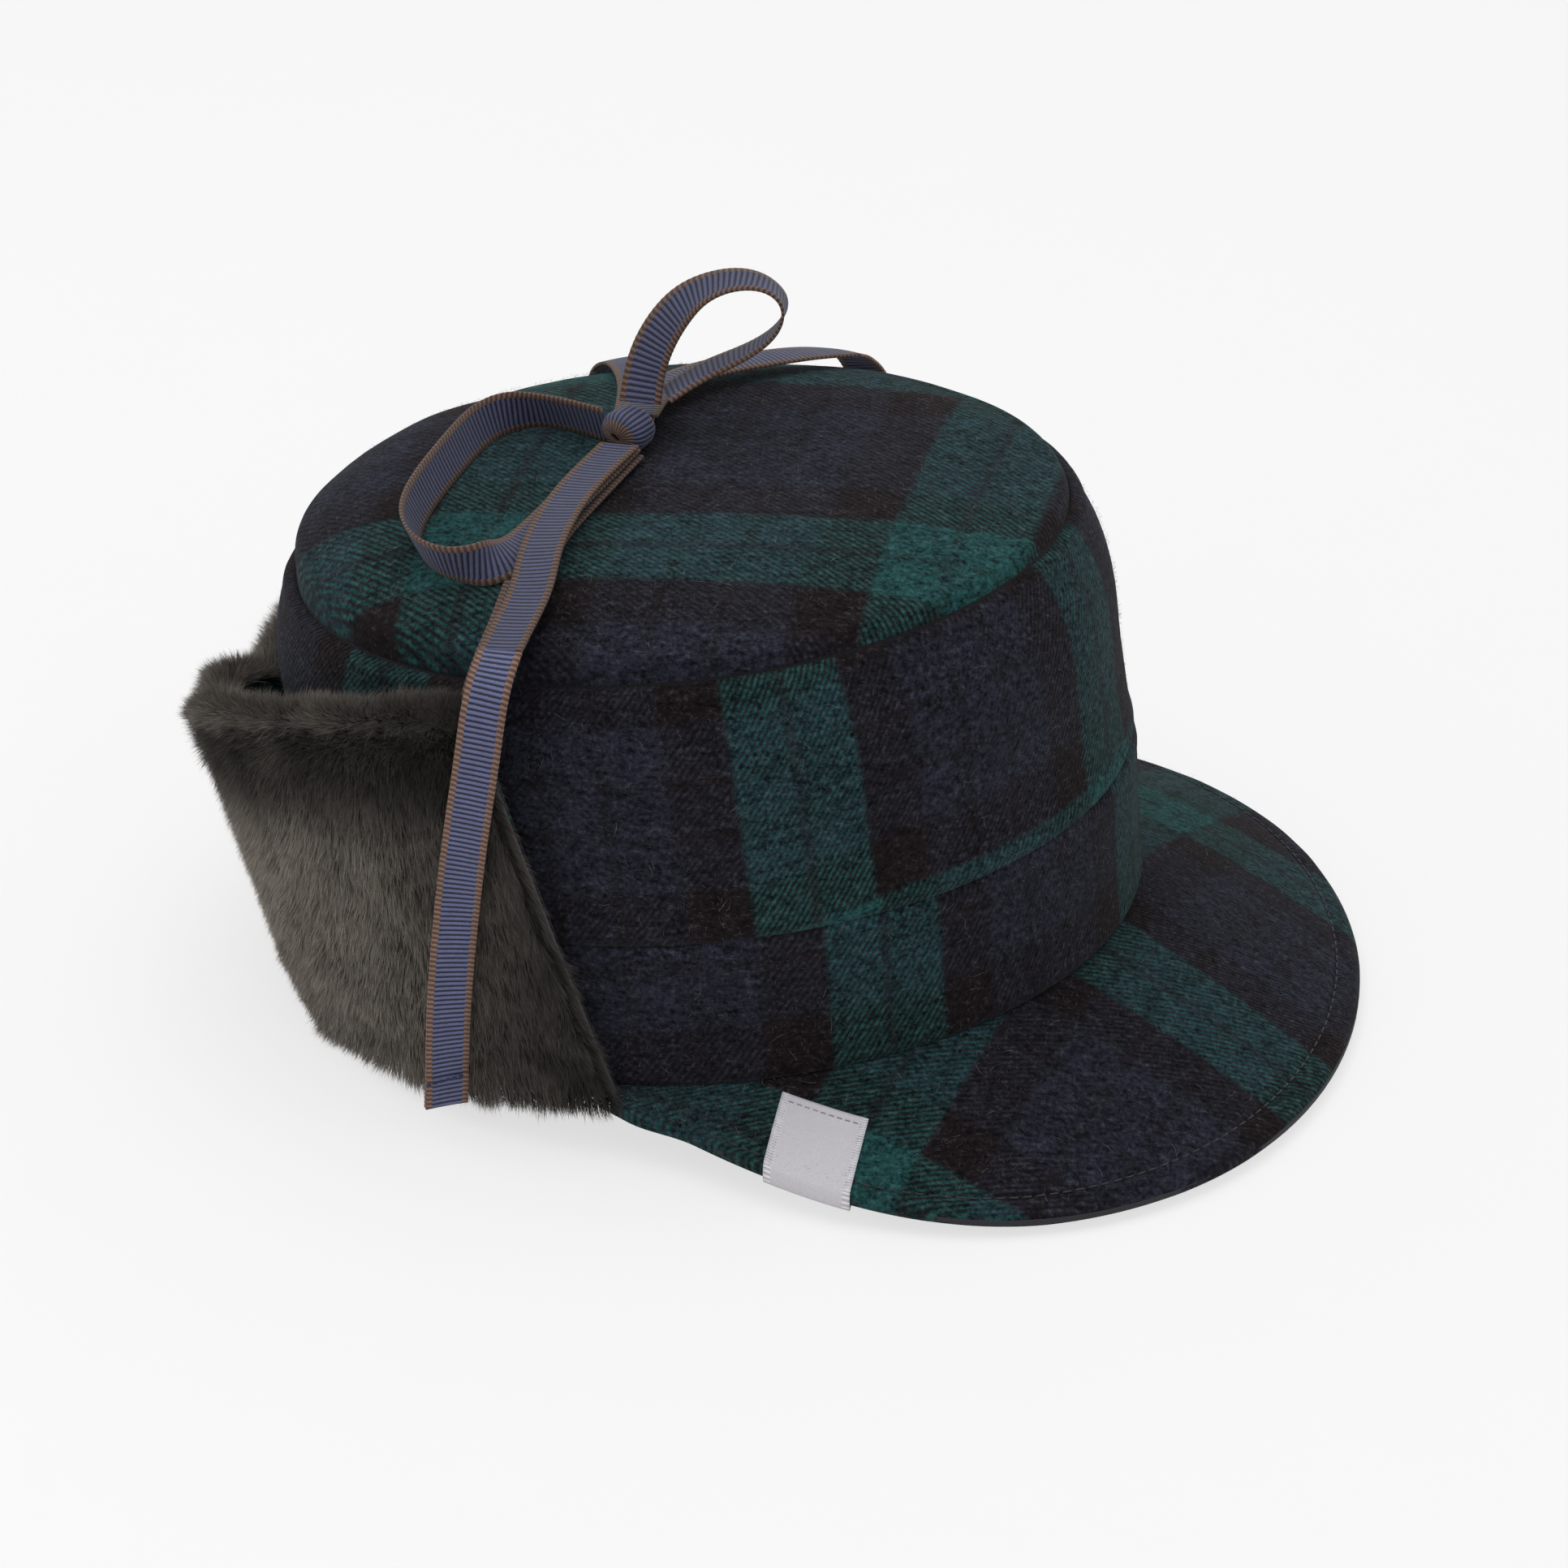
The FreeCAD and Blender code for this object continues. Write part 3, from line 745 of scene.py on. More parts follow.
def labelPlace(across, along):
    first, last = (Vector((*corner, 0)) for corner in label["corners"])
    angle, share = brimBeside(*first.lerp(last, across).xy)
    edge = brimPoint(angle, 1.0)
    inward = Vector((*label["inward"], 0))
    if along < label["foldFrom"]:
        inset = label["depth"] * (1 - along / label["foldFrom"])
        spot = edge + inward * inset
        angle, share = brimBeside(spot.x, spot.y)
        camber = brim["camber"] * 0.6 * math.sin(math.pi * min(1, share)) ** 0.8 if share < 1 else 0
        return brimPoint(angle, share, -label["lift"] - camber)
    half = brim["thick"] / 2 + label["lift"]
    if along < label["foldTo"]:
        turn = (along - label["foldFrom"]) / (label["foldTo"] - label["foldFrom"]) * math.pi
        return edge - inward * (0.6 * math.sin(turn)) + Vector((0, 0, label["lift"] - half * (1 - math.cos(turn))))
    spot = edge + inward * (label["under"] * (along - label["foldTo"]) / (1 - label["foldTo"]))
    angle, share = brimBeside(spot.x, spot.y)
    return brimPoint(angle, min(1, share), brim["thick"] + label["lift"])


def makeLabelPiece():
    piece = clothPiece(
        "plainLabel", 24, 60, labelPlace,
        lambda a, b: ((a - 0.5) * label["width"], b * label["length"]), labelCloth,
        lambda a, b, p: wander(p, 8, 0.12) * (1 if b < 0.44 else 0.3),
        lambda p: Vector((-0.7, 0, 0.7)), label["thick"], 0.0)
    hold(piece, "crown", "label")
    up = Vector((0, 0, 1))
    marks = []
    for i in range(label["topStitches"]):
        first, last = ((i + part) / label["topStitches"] * 0.84 + 0.08 for part in (0.15, 0.75))
        marks.append((labelPlace(first, 0.05), labelPlace(last, 0.05), up))
    topLine = stitchRow("labelTopStitches", marks, greyThread, 0.2)
    marks = []
    for side, inner in ((0.0, 0.075), (1.0, 0.925)):
        for i in range(label["sideStitches"]):
            start = labelPlace(side, 0.01 + i * label["sidePitch"])
            end = labelPlace(inner, 0.016 + i * label["sidePitch"])
            marks.append((start, end, up))
    stitches = stitchRow("labelStitches", marks, paleThread, 0.26)
    for sewn in (stitches, topLine):
        hold(sewn, "crown", "label_stitching")


makeLabelPiece()
print("label made")

# folded-up flap: panels that turn down together, fur outside while it is up
flap = {
    "start": 98.7, "panels": 9, "gap": 0.5, "drop": 1.0, "cloth": 1.2,
    "rightEar": 105.0, "leftEar": 90.0, "corner": 81.0, "back": 68.0, "slant": 15.0,
    "earLean": 1.5, "backLean": 8.0, "frontReach": 3.0, "farDip": 10.0,
    "skin": 3.4, "strands": 26000, "length": 6.4, "width": 0.17,
    "outerShare": 0.76, "rimShare": 0.95, "rimRise": 0.97, "rimFrom": 0.84, "rimBlur": 0.07,
    # how much shade is painted on the fur under the rim, at its foot and towards the ears' front edges
    "paintedShadeTop": 0.82, "paintedShadeFoot": 0.20, "paintedShadeFront": 0.95, "frontWidth": 1.9,
}


def flapRise(edge):
    # height of the flap's rim, so many panels round from the right ear's front edge
    fromBack = abs(edge - flap["panels"] / 2) / (flap["panels"] / 2)
    ear = flap["rightEar"] if edge < flap["panels"] / 2 else flap["leftEar"]
    corner = min(flap["corner"], ear)
    shoulder = corner + (ear - corner) * 0.72
    if fromBack > 5 / 9:
        return mix(shoulder, ear, min(1, (fromBack - 5 / 9) / (2 / 9)))
    return mix(flap["back"], shoulder, ease(fromBack / (5 / 9)))


class Panel:
    # one length of the flap; the lengths follow one smooth curve, so their ends meet without a corner
    def __init__(self, index):
        self.index = index
        self.sweep = (360 - 2 * flap["start"]) / flap["panels"]
        self.angle = -flap["start"] - self.sweep * index
        self.width = (openingPoint(self.angle - self.sweep) - openingPoint(self.angle)).length

    def frame(self, across, rise):
        # foot of the flap there, its upward, outward and along directions, and how many panels round it is
        slant = (flap["slant"] * rise - flap["frontReach"] * (1 - rise) ** 2) / self.width
        start = slant if self.index == 0 else 0
        end = 1 - slant if self.index == flap["panels"] - 1 else 1
        share = mix(start, end, across)
        angle = self.angle - self.sweep * share
        edge = self.index + share
        backness = max(0.0, 1 - abs(edge - flap["panels"] / 2) / ((flap["panels"] - 1) / 2))
        lean = math.radians(mix(flap["earLean"], flap["backLean"], math.sin(backness * math.pi / 2)))
        out = outward(angle)
        up = Vector((0, 0, 1))
        rising = up * math.cos(lean) + out * math.sin(lean)
        facing = out * math.cos(lean) - up * math.sin(lean)
        foot = openingPoint(angle, flap["gap"]) - up * flap["drop"] + rising * (flap["drop"] * 0.3)
        return foot, rising, facing, out.cross(up), edge

    def place(self, across, rise, depth):
        # across 0 to 1 along the hinge, rise 0 to 1 of the panel's height, depth in mm from the cloth's inner face
        foot, rising, facing, along, edge = self.frame(across, rise)
        top = mix(flapRise(self.index), flapRise(self.index + 1), across)
        top -= flap["farDip"] * ease((edge - 4.4) / 0.8) * (1 - ease((edge - 6.0) / 1.6))
        return foot + rising * (top * rise) + facing * depth


def rimTurn(turn):
    # over the rim, from the inside to the outside; gives rise and depth share
    return flap["rimRise"] + 0.015 * math.sin(turn), 0.5 - 0.5 * math.cos(turn)


def padSection(share):
    # round the fur's backing: up the inside, over the rim, down the outside and under
    if share < 0.40:
        return mix(0.02, flap["rimRise"], share / 0.40), 0.0
    if share < 0.50:
        return rimTurn((share - 0.40) / 0.10 * math.pi)
    if share < 0.90:
        return mix(flap["rimRise"], 0.02, (share - 0.50) / 0.40), 1.0
    turn = (share - 0.90) / 0.10 * math.pi
    return 0.02 - 0.014 * math.sin(turn), 0.5 + 0.5 * math.cos(turn)


def makeStrands(name, roots, ways, bends, lengths, widths, sides, tones, material, skin=None, lowest=None):
    # every strand is a tapered blade of three short lengths
    count = len(roots)
    steps = (0.0, 0.36, 0.72, 1.0)
    tapers = (1.0, 0.85, 0.5)
    rows = []
    for step in steps:
        row = roots + ways * (lengths * step)[:, None] + bends * (lengths * step * step)[:, None]
        if lowest is not None:
            row[:, 2] = np.maximum(row[:, 2], lowest)
        rows.append(row)
    points = []
    for row, taper in zip(rows[:3], tapers):
        reach = sides * (widths * taper / 2)[:, None]
        points += [row - reach, row + reach]
    points.append(rows[3])
    verts = np.stack(points, axis=1).reshape(-1, 3) * mm
    base = np.arange(count)[:, None] * 7
    quads = np.concatenate([base + np.array([0, 1, 3, 2]), base + np.array([2, 3, 5, 4])])
    ends = base + np.array([4, 5, 6])
    mesh = bpy.data.meshes.new(name)
    mesh.from_pydata(verts.tolist(), [], quads.tolist() + ends.tolist())
    layer = mesh.uv_layers.new(name="cloth")
    spots = []
    for heights in ([0.05, 0.05, 0.42, 0.42], [0.42, 0.42, 0.78, 0.78], [0.78, 0.78, 1.0]):
        pair = [np.repeat(tones[:, None], len(heights), 1), np.tile(heights, (count, 1))]
        spots.append(np.stack(pair, axis=2).reshape(-1))
    spots = np.concatenate(spots)
    layer.data.foreach_set("uv", spots.astype(np.float32))
    mesh.materials.append(material)
    mesh.polygons.foreach_set("use_smooth", np.ones(len(mesh.polygons), dtype=bool))
    mesh.update()
    if skin is not None:
        whole = bmesh.new()
        whole.from_mesh(mesh)
        whole.from_mesh(skin.data)
        whole.to_mesh(mesh)
        whole.free()
        bpy.data.objects.remove(skin)
    piece = bpy.data.objects.new(name, mesh)
    bpy.context.scene.collection.objects.link(piece)
    return piece


def unit(rows):
    return rows / np.maximum(np.linalg.norm(rows, axis=1), 1e-9)[:, None]


def makeBacking(panel):
    inner = flap["cloth"] + 0.1
    middle = leaned(panel.place(0.5, 0.5, inner + 0.1)) * mm

    def place(across, along):
        rise, depth = padSection(along)
        return leaned(panel.place(across, rise, inner + depth * flap["skin"]))

    backing = clothPiece(
        f"furBacking{panel.index + 1}", 14, 72, place, lambda a, b: (0.30, 0.22), fur, None, lambda p: p - middle)
    bm = bmesh.new()
    bm.from_mesh(backing.data)
    rims = [edge for edge in bm.edges if edge.is_boundary]
    if rims:
        bmesh.ops.holes_fill(bm, edges=rims, sides=0)
    bmesh.ops.recalc_face_normals(bm, faces=bm.faces)
    bm.to_mesh(backing.data)
    bm.free()
    return backing


def paintedStrandShade(rise, edge):
    # painted shade under the rim, at the foot and towards the ears' front edges, a little less at the very top of the
    # rim
    tone = 1 - flap["paintedShadeTop"] * ease((rise - 0.60) / 0.26) * (1 - 0.38 * ease((rise - 0.93) / 0.05))
    tone *= 1 - flap["paintedShadeFoot"] + flap["paintedShadeFoot"] * ease(rise / 0.35)
    fromFront = min(edge, flap["panels"] - edge)
    return tone * (1 - flap["paintedShadeFront"] + flap["paintedShadeFront"] * ease(fromFront / flap["frontWidth"]))


def makeFlapPanel(index):
    panel = Panel(index)
    draws = np.random.default_rng(40 + index)
    backing = makeBacking(panel)
    count = flap["strands"]
    across = draws.random(count)
    part = draws.random(count)
    last = flap["panels"] - 1
    roots = np.zeros((count, 3))
    facing = np.zeros((count, 3))
    comb = np.zeros((count, 3))
    lengths = np.zeros(count)
    shade = np.ones(count)
    for i in range(count):
        a = across[i]
        over = 0.0
        if part[i] < flap["outerShare"]:
            rise, depth = 0.01 + 0.97 * part[i] / flap["outerShare"], 1.0
        elif part[i] < flap["rimShare"]:
            turn = draws.random() * math.pi
            rise, depth = rimTurn(turn)
        else:
            rise, depth = 0.004, draws.random()
        foot, rising, outwards, along, edge = panel.frame(a, rise)
        forward = -along * math.cos(math.pi * min(1, max(0, (edge - 0.5) / last)))
        if part[i] < flap["outerShare"]:
            over = ease((rise + draws.random() * flap["rimBlur"] - flap["rimFrom"]) / (1 - flap["rimFrom"]))
            low = ease((0.10 - rise) / 0.10)
            normal = outwards * (1 - 0.15 * over - 0.2 * low) + rising * (0.60 * over - 0.45 * low)
            way = mix(forward * 0.55 - rising * 0.75, forward * 0.35 + rising * 0.05, over)
        elif part[i] < flap["rimShare"]:
            over = 1.0
            normal = rising * (0.55 + 0.45 * math.sin(turn)) - outwards * math.cos(turn)
            way = forward * 0.35 + outwards * 0.15
        else:
            normal = outwards * 0.7 - rising * 0.75
            way = forward * 0.4 + outwards * 0.3
        point = panel.place(a, rise, flap["cloth"] + 0.1 + depth * flap["skin"])
        shade[i] = paintedStrandShade(rise, edge)
        front = a if index == 0 else 1 - a
        if index in (0, last) and front < 0.05:
            normal = normal * 0.6 + forward * 0.7
        drift = noise.noise_vector(point / 9.0) * 0.45 + noise.noise_vector(point / 2.6) * 0.30
        roots[i] = leaned(point)
        facing[i] = leaned(normal)
        comb[i] = leaned(way + drift - normal * drift.dot(normal))
        uneven = 0.18 * noise.noise(point / 14.0) + 0.12 * noise.noise(point / 3.0)
        lengths[i] = flap["length"] * (0.80 + 0.25 * over + uneven)
    jitter = draws.normal(0, 0.13, (count, 3))
    lift = 0.80 + draws.normal(0, 0.12, count)
    ways = unit(unit(facing) * lift[:, None] + comb * 0.55 + jitter)
    bends = comb * 0.30 + draws.normal(0, 0.07, (count, 3))
    sides = unit(np.cross(ways, unit(facing) + draws.normal(0, 0.6, (count, 3))))
    lengths = lengths * (0.88 + draws.random(count) * 0.24)
    # each strand's random tone times its painted shade; the fur's finish reads it as brightness
    tones = (0.30 + 0.70 * draws.random(count)) * shade
    floorAt = cadBox[0][2] / mm + 0.3
    piece = makeStrands(
        f"furPile{index + 1}", roots, ways, bends, lengths, np.full(count, flap["width"]), sides, tones,
        fur, backing, floorAt)
    hold(piece, f"panel_{index + 1}", f"flap_fur_{index + 1}")
    start = follow(sideStripes, panel.angle if panel.angle > -180 else panel.angle + 360)
    inwards = leaned(-outward(panel.angle - panel.sweep / 2))
    cloth = clothPiece(
        f"flapCloth{index + 1}", 16, 44,
        lambda a, b: leaned(panel.place(a, mix(0.004, 0.992, b), 0.15)),
        lambda a, b: ((start - a * panel.width) / 100, (b * 90 + 22) / 100), wool,
        lambda a, b, p: wander(p, 14, 0.12), lambda p: inwards, 0.9)
    hold(cloth, f"panel_{index + 1}", f"flap_wool_{index + 1}")


for panelIndex in range(flap["panels"]):
    makeFlapPanel(panelIndex)
print("flap made")

# ribbon ties: middle of the ribbon, then the way its width lies, on the upright crown in millimetres
band = {
    "width": 10.0, "thick": 0.7, "scallop": 0.22, "row": ribbonTone["pitch"] / 2,
    "hem": 9.0, "hemThick": 1.5, "hemStitches": 6,
}
routes = {
    "rightTie": [
        (2.9, 8.5, 122.4, 0, 1, 0), (-18, 15, 121.8, 0.1, 1, 0), (-34, 20, 121.0, 0.2, 1, 0),
        (-50, 22, 119.6, 0.3, 1, 0), (-66, 23.5, 116.6, 0.5, 0.9, 0),
        (-80, 27, 111.2, 0.5, 0.9, 0), (-88.5, 29.5, 103.0, 0.2, 1, 0)],
    "rightTail": [
        (1.8, 9, 125.5, 0, 1, 0), (-22, 16, 125.6, 0.3, 1, 0), (-44, 19, 124.4, 0.1, 1, 0),
        (-61, 19, 121.3, 0, 1, 0), (-73, 20.5, 119.9, 0, 1, 0), (-84.7, 21.9, 118.7, 0, 1, 0)],
    "rightDrop": [
        (-84.6, 21.9, 118.6, 0, 1, 0), (-93.5, 24.2, 113.5, 0, 1, 0), (-95.8, 29.4, 94.8, 0, 1, 0),
        (-94.4, 36, 73, 0, 1, 0), (-92, 42.4, 50, -0.25, 1, 0), (-90.4, 48, 27.2, -0.35, 1, 0),
        (-87, 54, -1, -0.5, 1, 0)],
    "leftTie": [
        (14.9, 9, 122.9, 0, 1, 0), (42, 12, 121.3, 0.1, 1, 0), (63, 19, 118.2, -0.3, 1, 0),
        (77, 26.5, 110.4, -0.3, 1, 0), (84.5, 31, 100, 0.1, 1, 0), (91, 33, 90.8, 0, 1, 0)],
    "leftTail": [
        (14.9, 7, 126.2, 0, 1, 0), (34, 5, 124.5, 0.2, 1, 0), (46, -4, 122.6, 0.7, 0.7, 0),
        (56, -16, 119.8, 0.7, 0.7, 0), (66, -26, 116, 0.6, 0.8, 0), (75.5, -33, 111, 0.4, 0.9, 0)],
    "leftDrop": [
        (76.4, -33.6, 110.2, 0.4, 0.9, 0), (81.2, -36, 104, 0.2, 1, 0), (83.6, -37.5, 92, 0, 1, 0),
        (84.6, -38.6, 70, -0.3, 1, 0), (86, -39.6, 45, -0.3, 1, 0), (89, -41, 14, -0.3, 1, 0)],
    "uprightLoop": [
        (12, 5, 131.2, -0.3, -0.9, -0.3), (17, 2.5, 141, -0.4, -0.8, -0.4), (20, -5.3, 151.5, -0.6, -0.5, -0.4),
        (21, -14, 156.8, -0.9, -0.1, -0.2), (22, -24, 157.6, -1, 0, 0), (22, -31, 153.6, -0.9, 0, 0.3),
        (22, -32, 148.4, -0.9, -0.1, 0.3), (22, -28, 142.6, -1, -0.2, 0.2), (21, -20, 138.4, -1, -0.2, 0.1),
        (18, -9, 135.4, -1, -0.3, 0), (15, -1, 131.6, -1, -0.3, 0)],
    "backLoop": [
        (10.5, 13.8, 126.5, -0.2, 0, 1), (16, 23.5, 127, -0.3, 0, 1), (20, 34.5, 127.4, -0.2, 0.2, 1),
        (14, 43.5, 128, 0, 0.3, 1), (-7, 49, 128, 0, 0.3, 1), (-26, 52.5, 127.2, 0, 0.3, 1),
        (-38, 52, 126, -0.1, 0.3, 1), (-48.5, 46, 124.8, -0.3, 0.2, 1), (-53, 38, 124.2, -0.3, 0, 1),
        (-51.5, 30, 123.4, 0.1, 0.5, 0.8), (-43, 24.5, 122.4, 0.5, 0.8, 0.3), (-26, 18.5, 123.6, 0.3, 1, 0.05),
        (3.2, 9, 123.9, 0, 1, 0)],
}


def curveThrough(first, second, third, fourth, share):
    squared = share * share
    cubed = squared * share
    return 0.5 * (2 * second + (third - first) * share + (2 * first - 5 * second + 4 * third - fourth) * squared
                  + (3 * second - first - 3 * third + fourth) * cubed)


def evenRoute(stations, row, smoothing=3):
    # a smooth path through the stations, cut into even rows
    spots = [Vector(s[:3]) for s in stations]
    widths = [Vector(s[3:]).normalized() for s in stations]
    fine = []
    for i in range(len(spots) - 1):
        ring = [max(0, i - 1), i, i + 1, min(len(spots) - 1, i + 2)]
        for k in range(24):
            share = k / 24
            point = curveThrough(*[spots[j] for j in ring], share)
            fine.append((point, widths[i].lerp(widths[i + 1], ease(share))))
    fine.append((spots[-1], widths[-1]))
    lengths = [0.0]
    for (before, _), (after, _) in zip(fine, fine[1:]):
        lengths.append(lengths[-1] + (after - before).length)
    rows = max(2, round(lengths[-1] / row))
    even = []
    at = 0
    for i in range(rows + 1):
        goal = lengths[-1] * i / rows
        while at < len(fine) - 2 and lengths[at + 1] < goal:
            at += 1
        share = (goal - lengths[at]) / max(1e-6, lengths[at + 1] - lengths[at])
        even.append((fine[at][0].lerp(fine[at + 1][0], share), fine[at][1].lerp(fine[at + 1][1], share)))
    for _ in range(smoothing):
        rounded = list(even)
        for i in range(1, rows):
            reach = min(6, i, rows - i)
            near = even[i - reach:i + reach + 1]
            rounded[i] = tuple(sum((pair[k] for pair in near), Vector()) / len(near) for k in (0, 1))
        even = rounded
    return even, sum((after[0] - before[0]).length for before, after in zip(even, even[1:]))


def ribbonPiece(name, path, length, thick, material):
    rows = len(path) - 1
    frames = []
    for i, (middle, across) in enumerate(path):
        along = (path[min(rows, i + 1)][0] - path[max(0, i - 1)][0]).normalized()
        side = (across - along * across.dot(along)).normalized()
        frames.append((middle, side, along.cross(side)))

    def place(across, along):
        at = round(along * rows)
        middle, side, face = frames[at]
        share = (across - 0.5) * 2
        scallop = band["scallop"] * (1 if at % 2 else -0.6) if abs(share) > 0.99 else 0
        reach = band["width"] / 2 * share + math.copysign(scallop, share)
        bow = 0.16 * (1 - share * share)
        return leaned(middle + side * reach + face * bow)

    return clothPiece(name, 8, rows, place, lambda a, b: (a, b * length * mm), material, None, None, thick, 0.0)


def cutRoute(stations, taken):
    last = Vector(stations[-1][:3])
    back = (Vector(stations[-2][:3]) - last).normalized()
    end = last + back * taken
    return stations[:-1] + [(*end, *stations[-1][3:])]


def makeRibbons():
    pieces = (
        ("rightTieRibbon", "rightTie", "right_tie_ribbon", "right_ribbon", "stretched", None),
        ("rightTailUpper", "rightTail", "right_tail_upper", "right_ribbon", "laid", None),
        ("rightTailLower", "rightDrop", "right_tail_lower", "right_tail", "hung", "right_tail_hem"),
        ("leftTieRibbon", "leftTie", "left_tie_ribbon", "left_ribbon", "stretched", None),
        ("leftTailUpper", "leftTail", "left_tail_upper", "left_ribbon", "laid", None),
        ("leftTailLower", "leftDrop", "left_tail_lower", "left_tail", "hung", "left_tail_hem"),
        ("uprightLoop", "uprightLoop", "upright_loop", "right_ribbon", "folded", None),
        ("backLoop", "backLoop", "back_loop", "right_ribbon", "folded", None),
    )
    for name, route, node, body, held, hemNode in pieces:
        stations = routes[route]
        if hemNode:
            last = Vector(stations[-1][:3])
            back = (Vector(stations[-2][:3]) - last).normalized()
            hemRoute = [(*(last + back * band["hem"]), *stations[-1][3:]), stations[-1]]
            path, length = evenRoute(hemRoute, band["row"])
            hem = ribbonPiece(name + "Hem", path, length, band["hemThick"], ribbon)
            sew = []
            middle, across = path[1]
            side = across.normalized()
            out = leaned(Vector((math.copysign(1, last.x), 0, 0)))
            for i in range(band["hemStitches"]):
                low = middle + side * mix(-4.6, 4.0, i / (band["hemStitches"] - 1)) * 0.92
                sew.append((leaned(low) + out * 0.95, leaned(low + side * 1.1) + out * 0.95, out))
            thread = stitchRow(name + "Stitches", sew, hemThread, 0.3)
            for extra in (hem, thread):
                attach(extra, body)
            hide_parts(hemNode)
            stations = cutRoute(stations, band["hem"])
        path, length = evenRoute(stations, band["row"])
        piece = ribbonPiece(name, path, length, band["thick"], ribbon if hemNode else paintedShadeRibbon)
        hold(piece, body, node)
        round(length * mm, 4)


makeRibbons()

# the bow's knot: the ribbon wrapped once round its strands
knot = {
    "middle": Vector((9.0, 8.0, 126.0)), "radii": (6.4, 5.2), "half": 5.2, "turn": math.radians(-30), "pinch": 0.82,
    "length": 36.6, "rows": 44, "thick": 0.8,
}


def knotPlace(across, along):
    share = (across - 0.5) * 2
    turn = along * 2 * math.pi
    swell = 1 - knot["pinch"] * share ** 4 - 0.06 * share * math.sin(turn * 2)
    wide, high = knot["radii"]
    local = Vector((share * knot["half"], wide * math.cos(turn) * swell, high * math.sin(turn) * swell))
    return leaned(knot["middle"] + Matrix.Rotation(knot["turn"], 3, "Z") @ local)


def makeKnot():
    middle = leaned(knot["middle"]) * mm
    piece = clothPiece(
        "bowKnot", 10, knot["rows"], knotPlace, lambda a, b: (a, b * knot["length"] * mm), paintedShadeRibbon, None,
        lambda p: p - middle, knot["thick"])
    hold(piece, "right_ribbon", "bow_knot")


makeKnot()
print("ribbons made")

# loose fibres standing off the brushed cloth
nap = {
    "stray": 800, "short": 24000, "seed": 7,
    "side": 0.36, "band": 0.55, "tip": 0.82,     # how the fibres are shared out; the brim has the rest
}


def napSpot(pick, angle, reach, beside, above):
    # a point of the cloth beside or above a picked one
    if pick < nap["band"]:
        return wallPoint(angle + beside, reach + above)
    if pick < nap["tip"]:
        return tipPoint(angle + beside / reach, reach - above / 90)
    return brimPoint(angle + beside, reach + above / 60, -0.7)


def makeNap():
    draws = np.random.default_rng(nap["seed"])
    chance = random.Random(nap["seed"])
    rows = []
    for i in range(nap["stray"] + nap["short"]):
        stray = i < nap["stray"]
        pick = chance.random()
        angle = chance.uniform(-180, 180)
        if pick < nap["side"]:
            reach = mix(hat["bandHeight"] + 1, hat["tipHeight"] - 1, chance.random())
        elif pick < nap["band"]:
            reach = mix(2, hat["bandHeight"] - 1, chance.random())
        elif pick < nap["tip"]:
            reach = math.sqrt(chance.uniform(0.0004, 0.94))
        else:
            angle = chance.uniform(-brim["side"], brim["side"])
            reach = chance.uniform(0.04, 0.95)
        here = napSpot(pick, angle, reach, 0, 0)
        aside = napSpot(pick, angle, reach, 0.5, 0) - here
        above = napSpot(pick, angle, reach, 0, 0.5) - here
        if pick < nap["tip"]:
            here, aside, above = leaned(here), leaned(aside), leaned(above)
        normal = aside.cross(above).normalized()
        away = here - Vector((0, 5, 45)) if pick < nap["tip"] else Vector((0, 0, 1))
        if normal.dot(away) < 0:
            normal = -normal
        flat = aside.normalized() * chance.gauss(0, 1) + above.normalized() * chance.gauss(0, 1)
        flat.normalize()
        if stray:
            way = (flat + normal * chance.uniform(0.12, 0.5)).normalized()
            bend = flat.cross(normal) * chance.gauss(0, 0.8) - normal * chance.uniform(0.1, 0.5)
            length, width = chance.uniform(1.8, 4.6), 0.06
        else:
            way = (flat * 0.9 + normal * chance.uniform(0.25, 0.9)).normalized()
            bend = flat.cross(normal) * chance.gauss(0, 0.6)
            length, width = chance.uniform(0.6, 1.5), 0.07
        rows.append((here + normal * 0.1, way, bend, length, width, flat.cross(way)))
    stray, short = rows[:nap["stray"]], rows[nap["stray"]:]
    for name, part, material in (("strayFibres", stray, strayFibre), ("shortNap", short, napFibre)):
        roots, ways, bends, lengths, widths, sides = (np.array([row[k] for row in part]) for k in range(6))
        tones = draws.random(len(part))
        piece = makeStrands(name, roots, unit(ways), bends, lengths, widths, unit(sides), tones, material)
        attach(piece, "crown")


makeNap()
print("nap made")

# layers sewn inside, seen only at cut edges
inside = {
    "tip_interlining": canvas, "side_interlining": canvas, "lower_band_interlining": canvas,
    "tip_seam_allowance": facingCloth, "band_seam_allowance": facingCloth,
    "brim_board": boardCard, "brim_edge_binding": bindingCloth,
}
for node, material in inside.items():
    kept = bpy.data.objects.get(node)
    if kept is None:
        print("no node", node)
        continue
    if kept.data.materials:
        for slot in range(len(kept.data.materials)):
            kept.data.materials[slot] = material
    else:
        kept.data.materials.append(material)


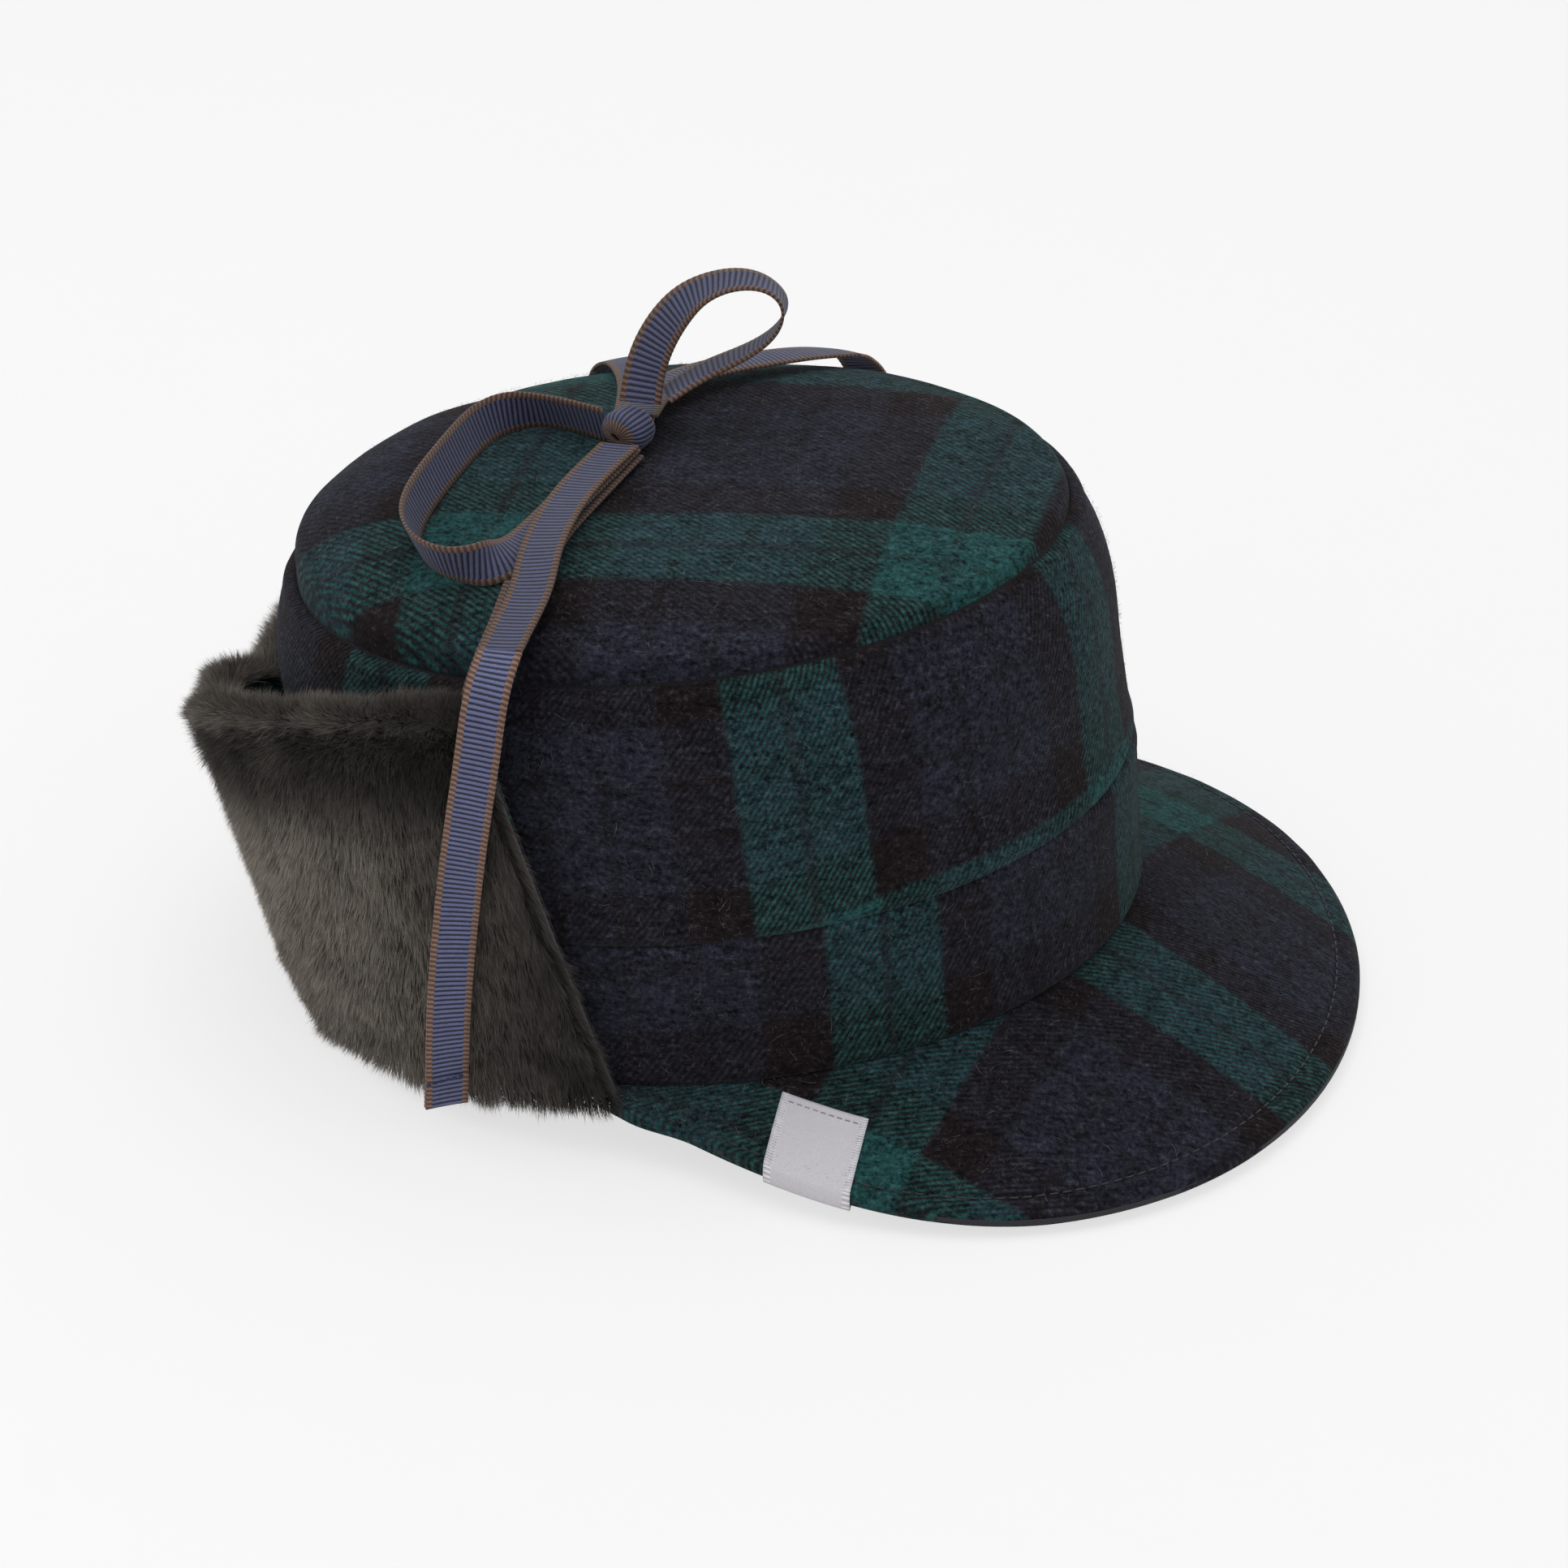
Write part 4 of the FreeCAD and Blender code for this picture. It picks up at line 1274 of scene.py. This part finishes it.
def makeStudio():
    scene = bpy.context.scene
    turn = math.radians(studio["azimuth"])
    tilt = math.radians(studio["elevation"])
    back = Vector((math.sin(turn) * math.cos(tilt), -math.cos(turn) * math.cos(tilt), math.sin(tilt)))
    camera = bpy.data.cameras.new("camera")
    camera.lens = studio["lens"]
    camera.sensor_width = 36
    camera.shift_x, camera.shift_y = studio["shift"]
    holder = bpy.data.objects.new("camera", camera)
    holder.location = Vector(studio["target"]) + back * studio["distance"]
    holder.rotation_euler = back.to_track_quat("Z", "Y").to_euler()
    scene.collection.objects.link(holder)
    scene.camera = holder
    floorBuild = Finish("paleFloor")
    fine = floorBuild.grain(floorBuild.objectPlace(), 30.0)
    darker, paler = studio["floorTone"] - studio["floorGrain"], studio["floorTone"] + studio["floorGrain"]
    tone = floorBuild.blend(fine, (darker,) * 3 + (1,), (paler,) * 3 + (1,))
    matte = floorBuild.node("ShaderNodeBsdfDiffuse", {}, {0: tone})
    clear = floorBuild.node("ShaderNodeBsdfTransparent", {}, {})
    seen = floorBuild.node("ShaderNodeLightPath", {}, {}, 0)
    mixed = floorBuild.node("ShaderNodeMixShader", {}, {0: seen * studio["floorClear"], 1: matte, 2: clear})
    floorBuild.node("ShaderNodeOutputMaterial", {}, {0: mixed})
    bm = bmesh.new()
    bmesh.ops.create_grid(bm, x_segments=2, y_segments=2, size=studio["floorSize"])
    for vert in bm.verts:
        vert.co.z = cadBox[0][2] - studio["floorBelow"]
    floor = finishPiece("floor", bm, floorBuild.holder, False)
    sky = Finish("backdrop", bpy.data.worlds)
    scene.world = sky.holder
    direct = sky.node("ShaderNodeLightPath", {}, {}, "Is Camera Ray")
    mirrored = sky.node("ShaderNodeLightPath", {}, {}, "Is Glossy Ray")
    either = direct.math("MAXIMUM", direct, mirrored)
    plain = sky.node("ShaderNodeBackground", {}, {0: studio["white"], 1: studio["fill"]})
    bright = sky.node("ShaderNodeBackground", {}, {0: studio["white"], 1: studio["backdrop"]})
    joined = sky.node("ShaderNodeMixShader", {}, {0: either, 1: plain, 2: bright})
    sky.node("ShaderNodeOutputWorld", {}, {0: joined})
    lamps = (
        ("overhead", (-0.15, 0.25, 1.5), 1.3, studio["keyPower"]),
        ("beside", (-1.3, -0.5, 0.8), 1.0, studio["sidePower"]),
    )
    for name, place, size, power in lamps:
        lamp = bpy.data.lights.new(name, "AREA")
        lamp.size = size
        lamp.energy = power
        stand = bpy.data.objects.new(name, lamp)
        stand.location = place
        stand.rotation_euler = (Vector(place) - Vector(studio["target"])).to_track_quat("Z", "Y").to_euler()
        scene.collection.objects.link(stand)
    scene.view_settings.view_transform = "Standard"


makeStudio()
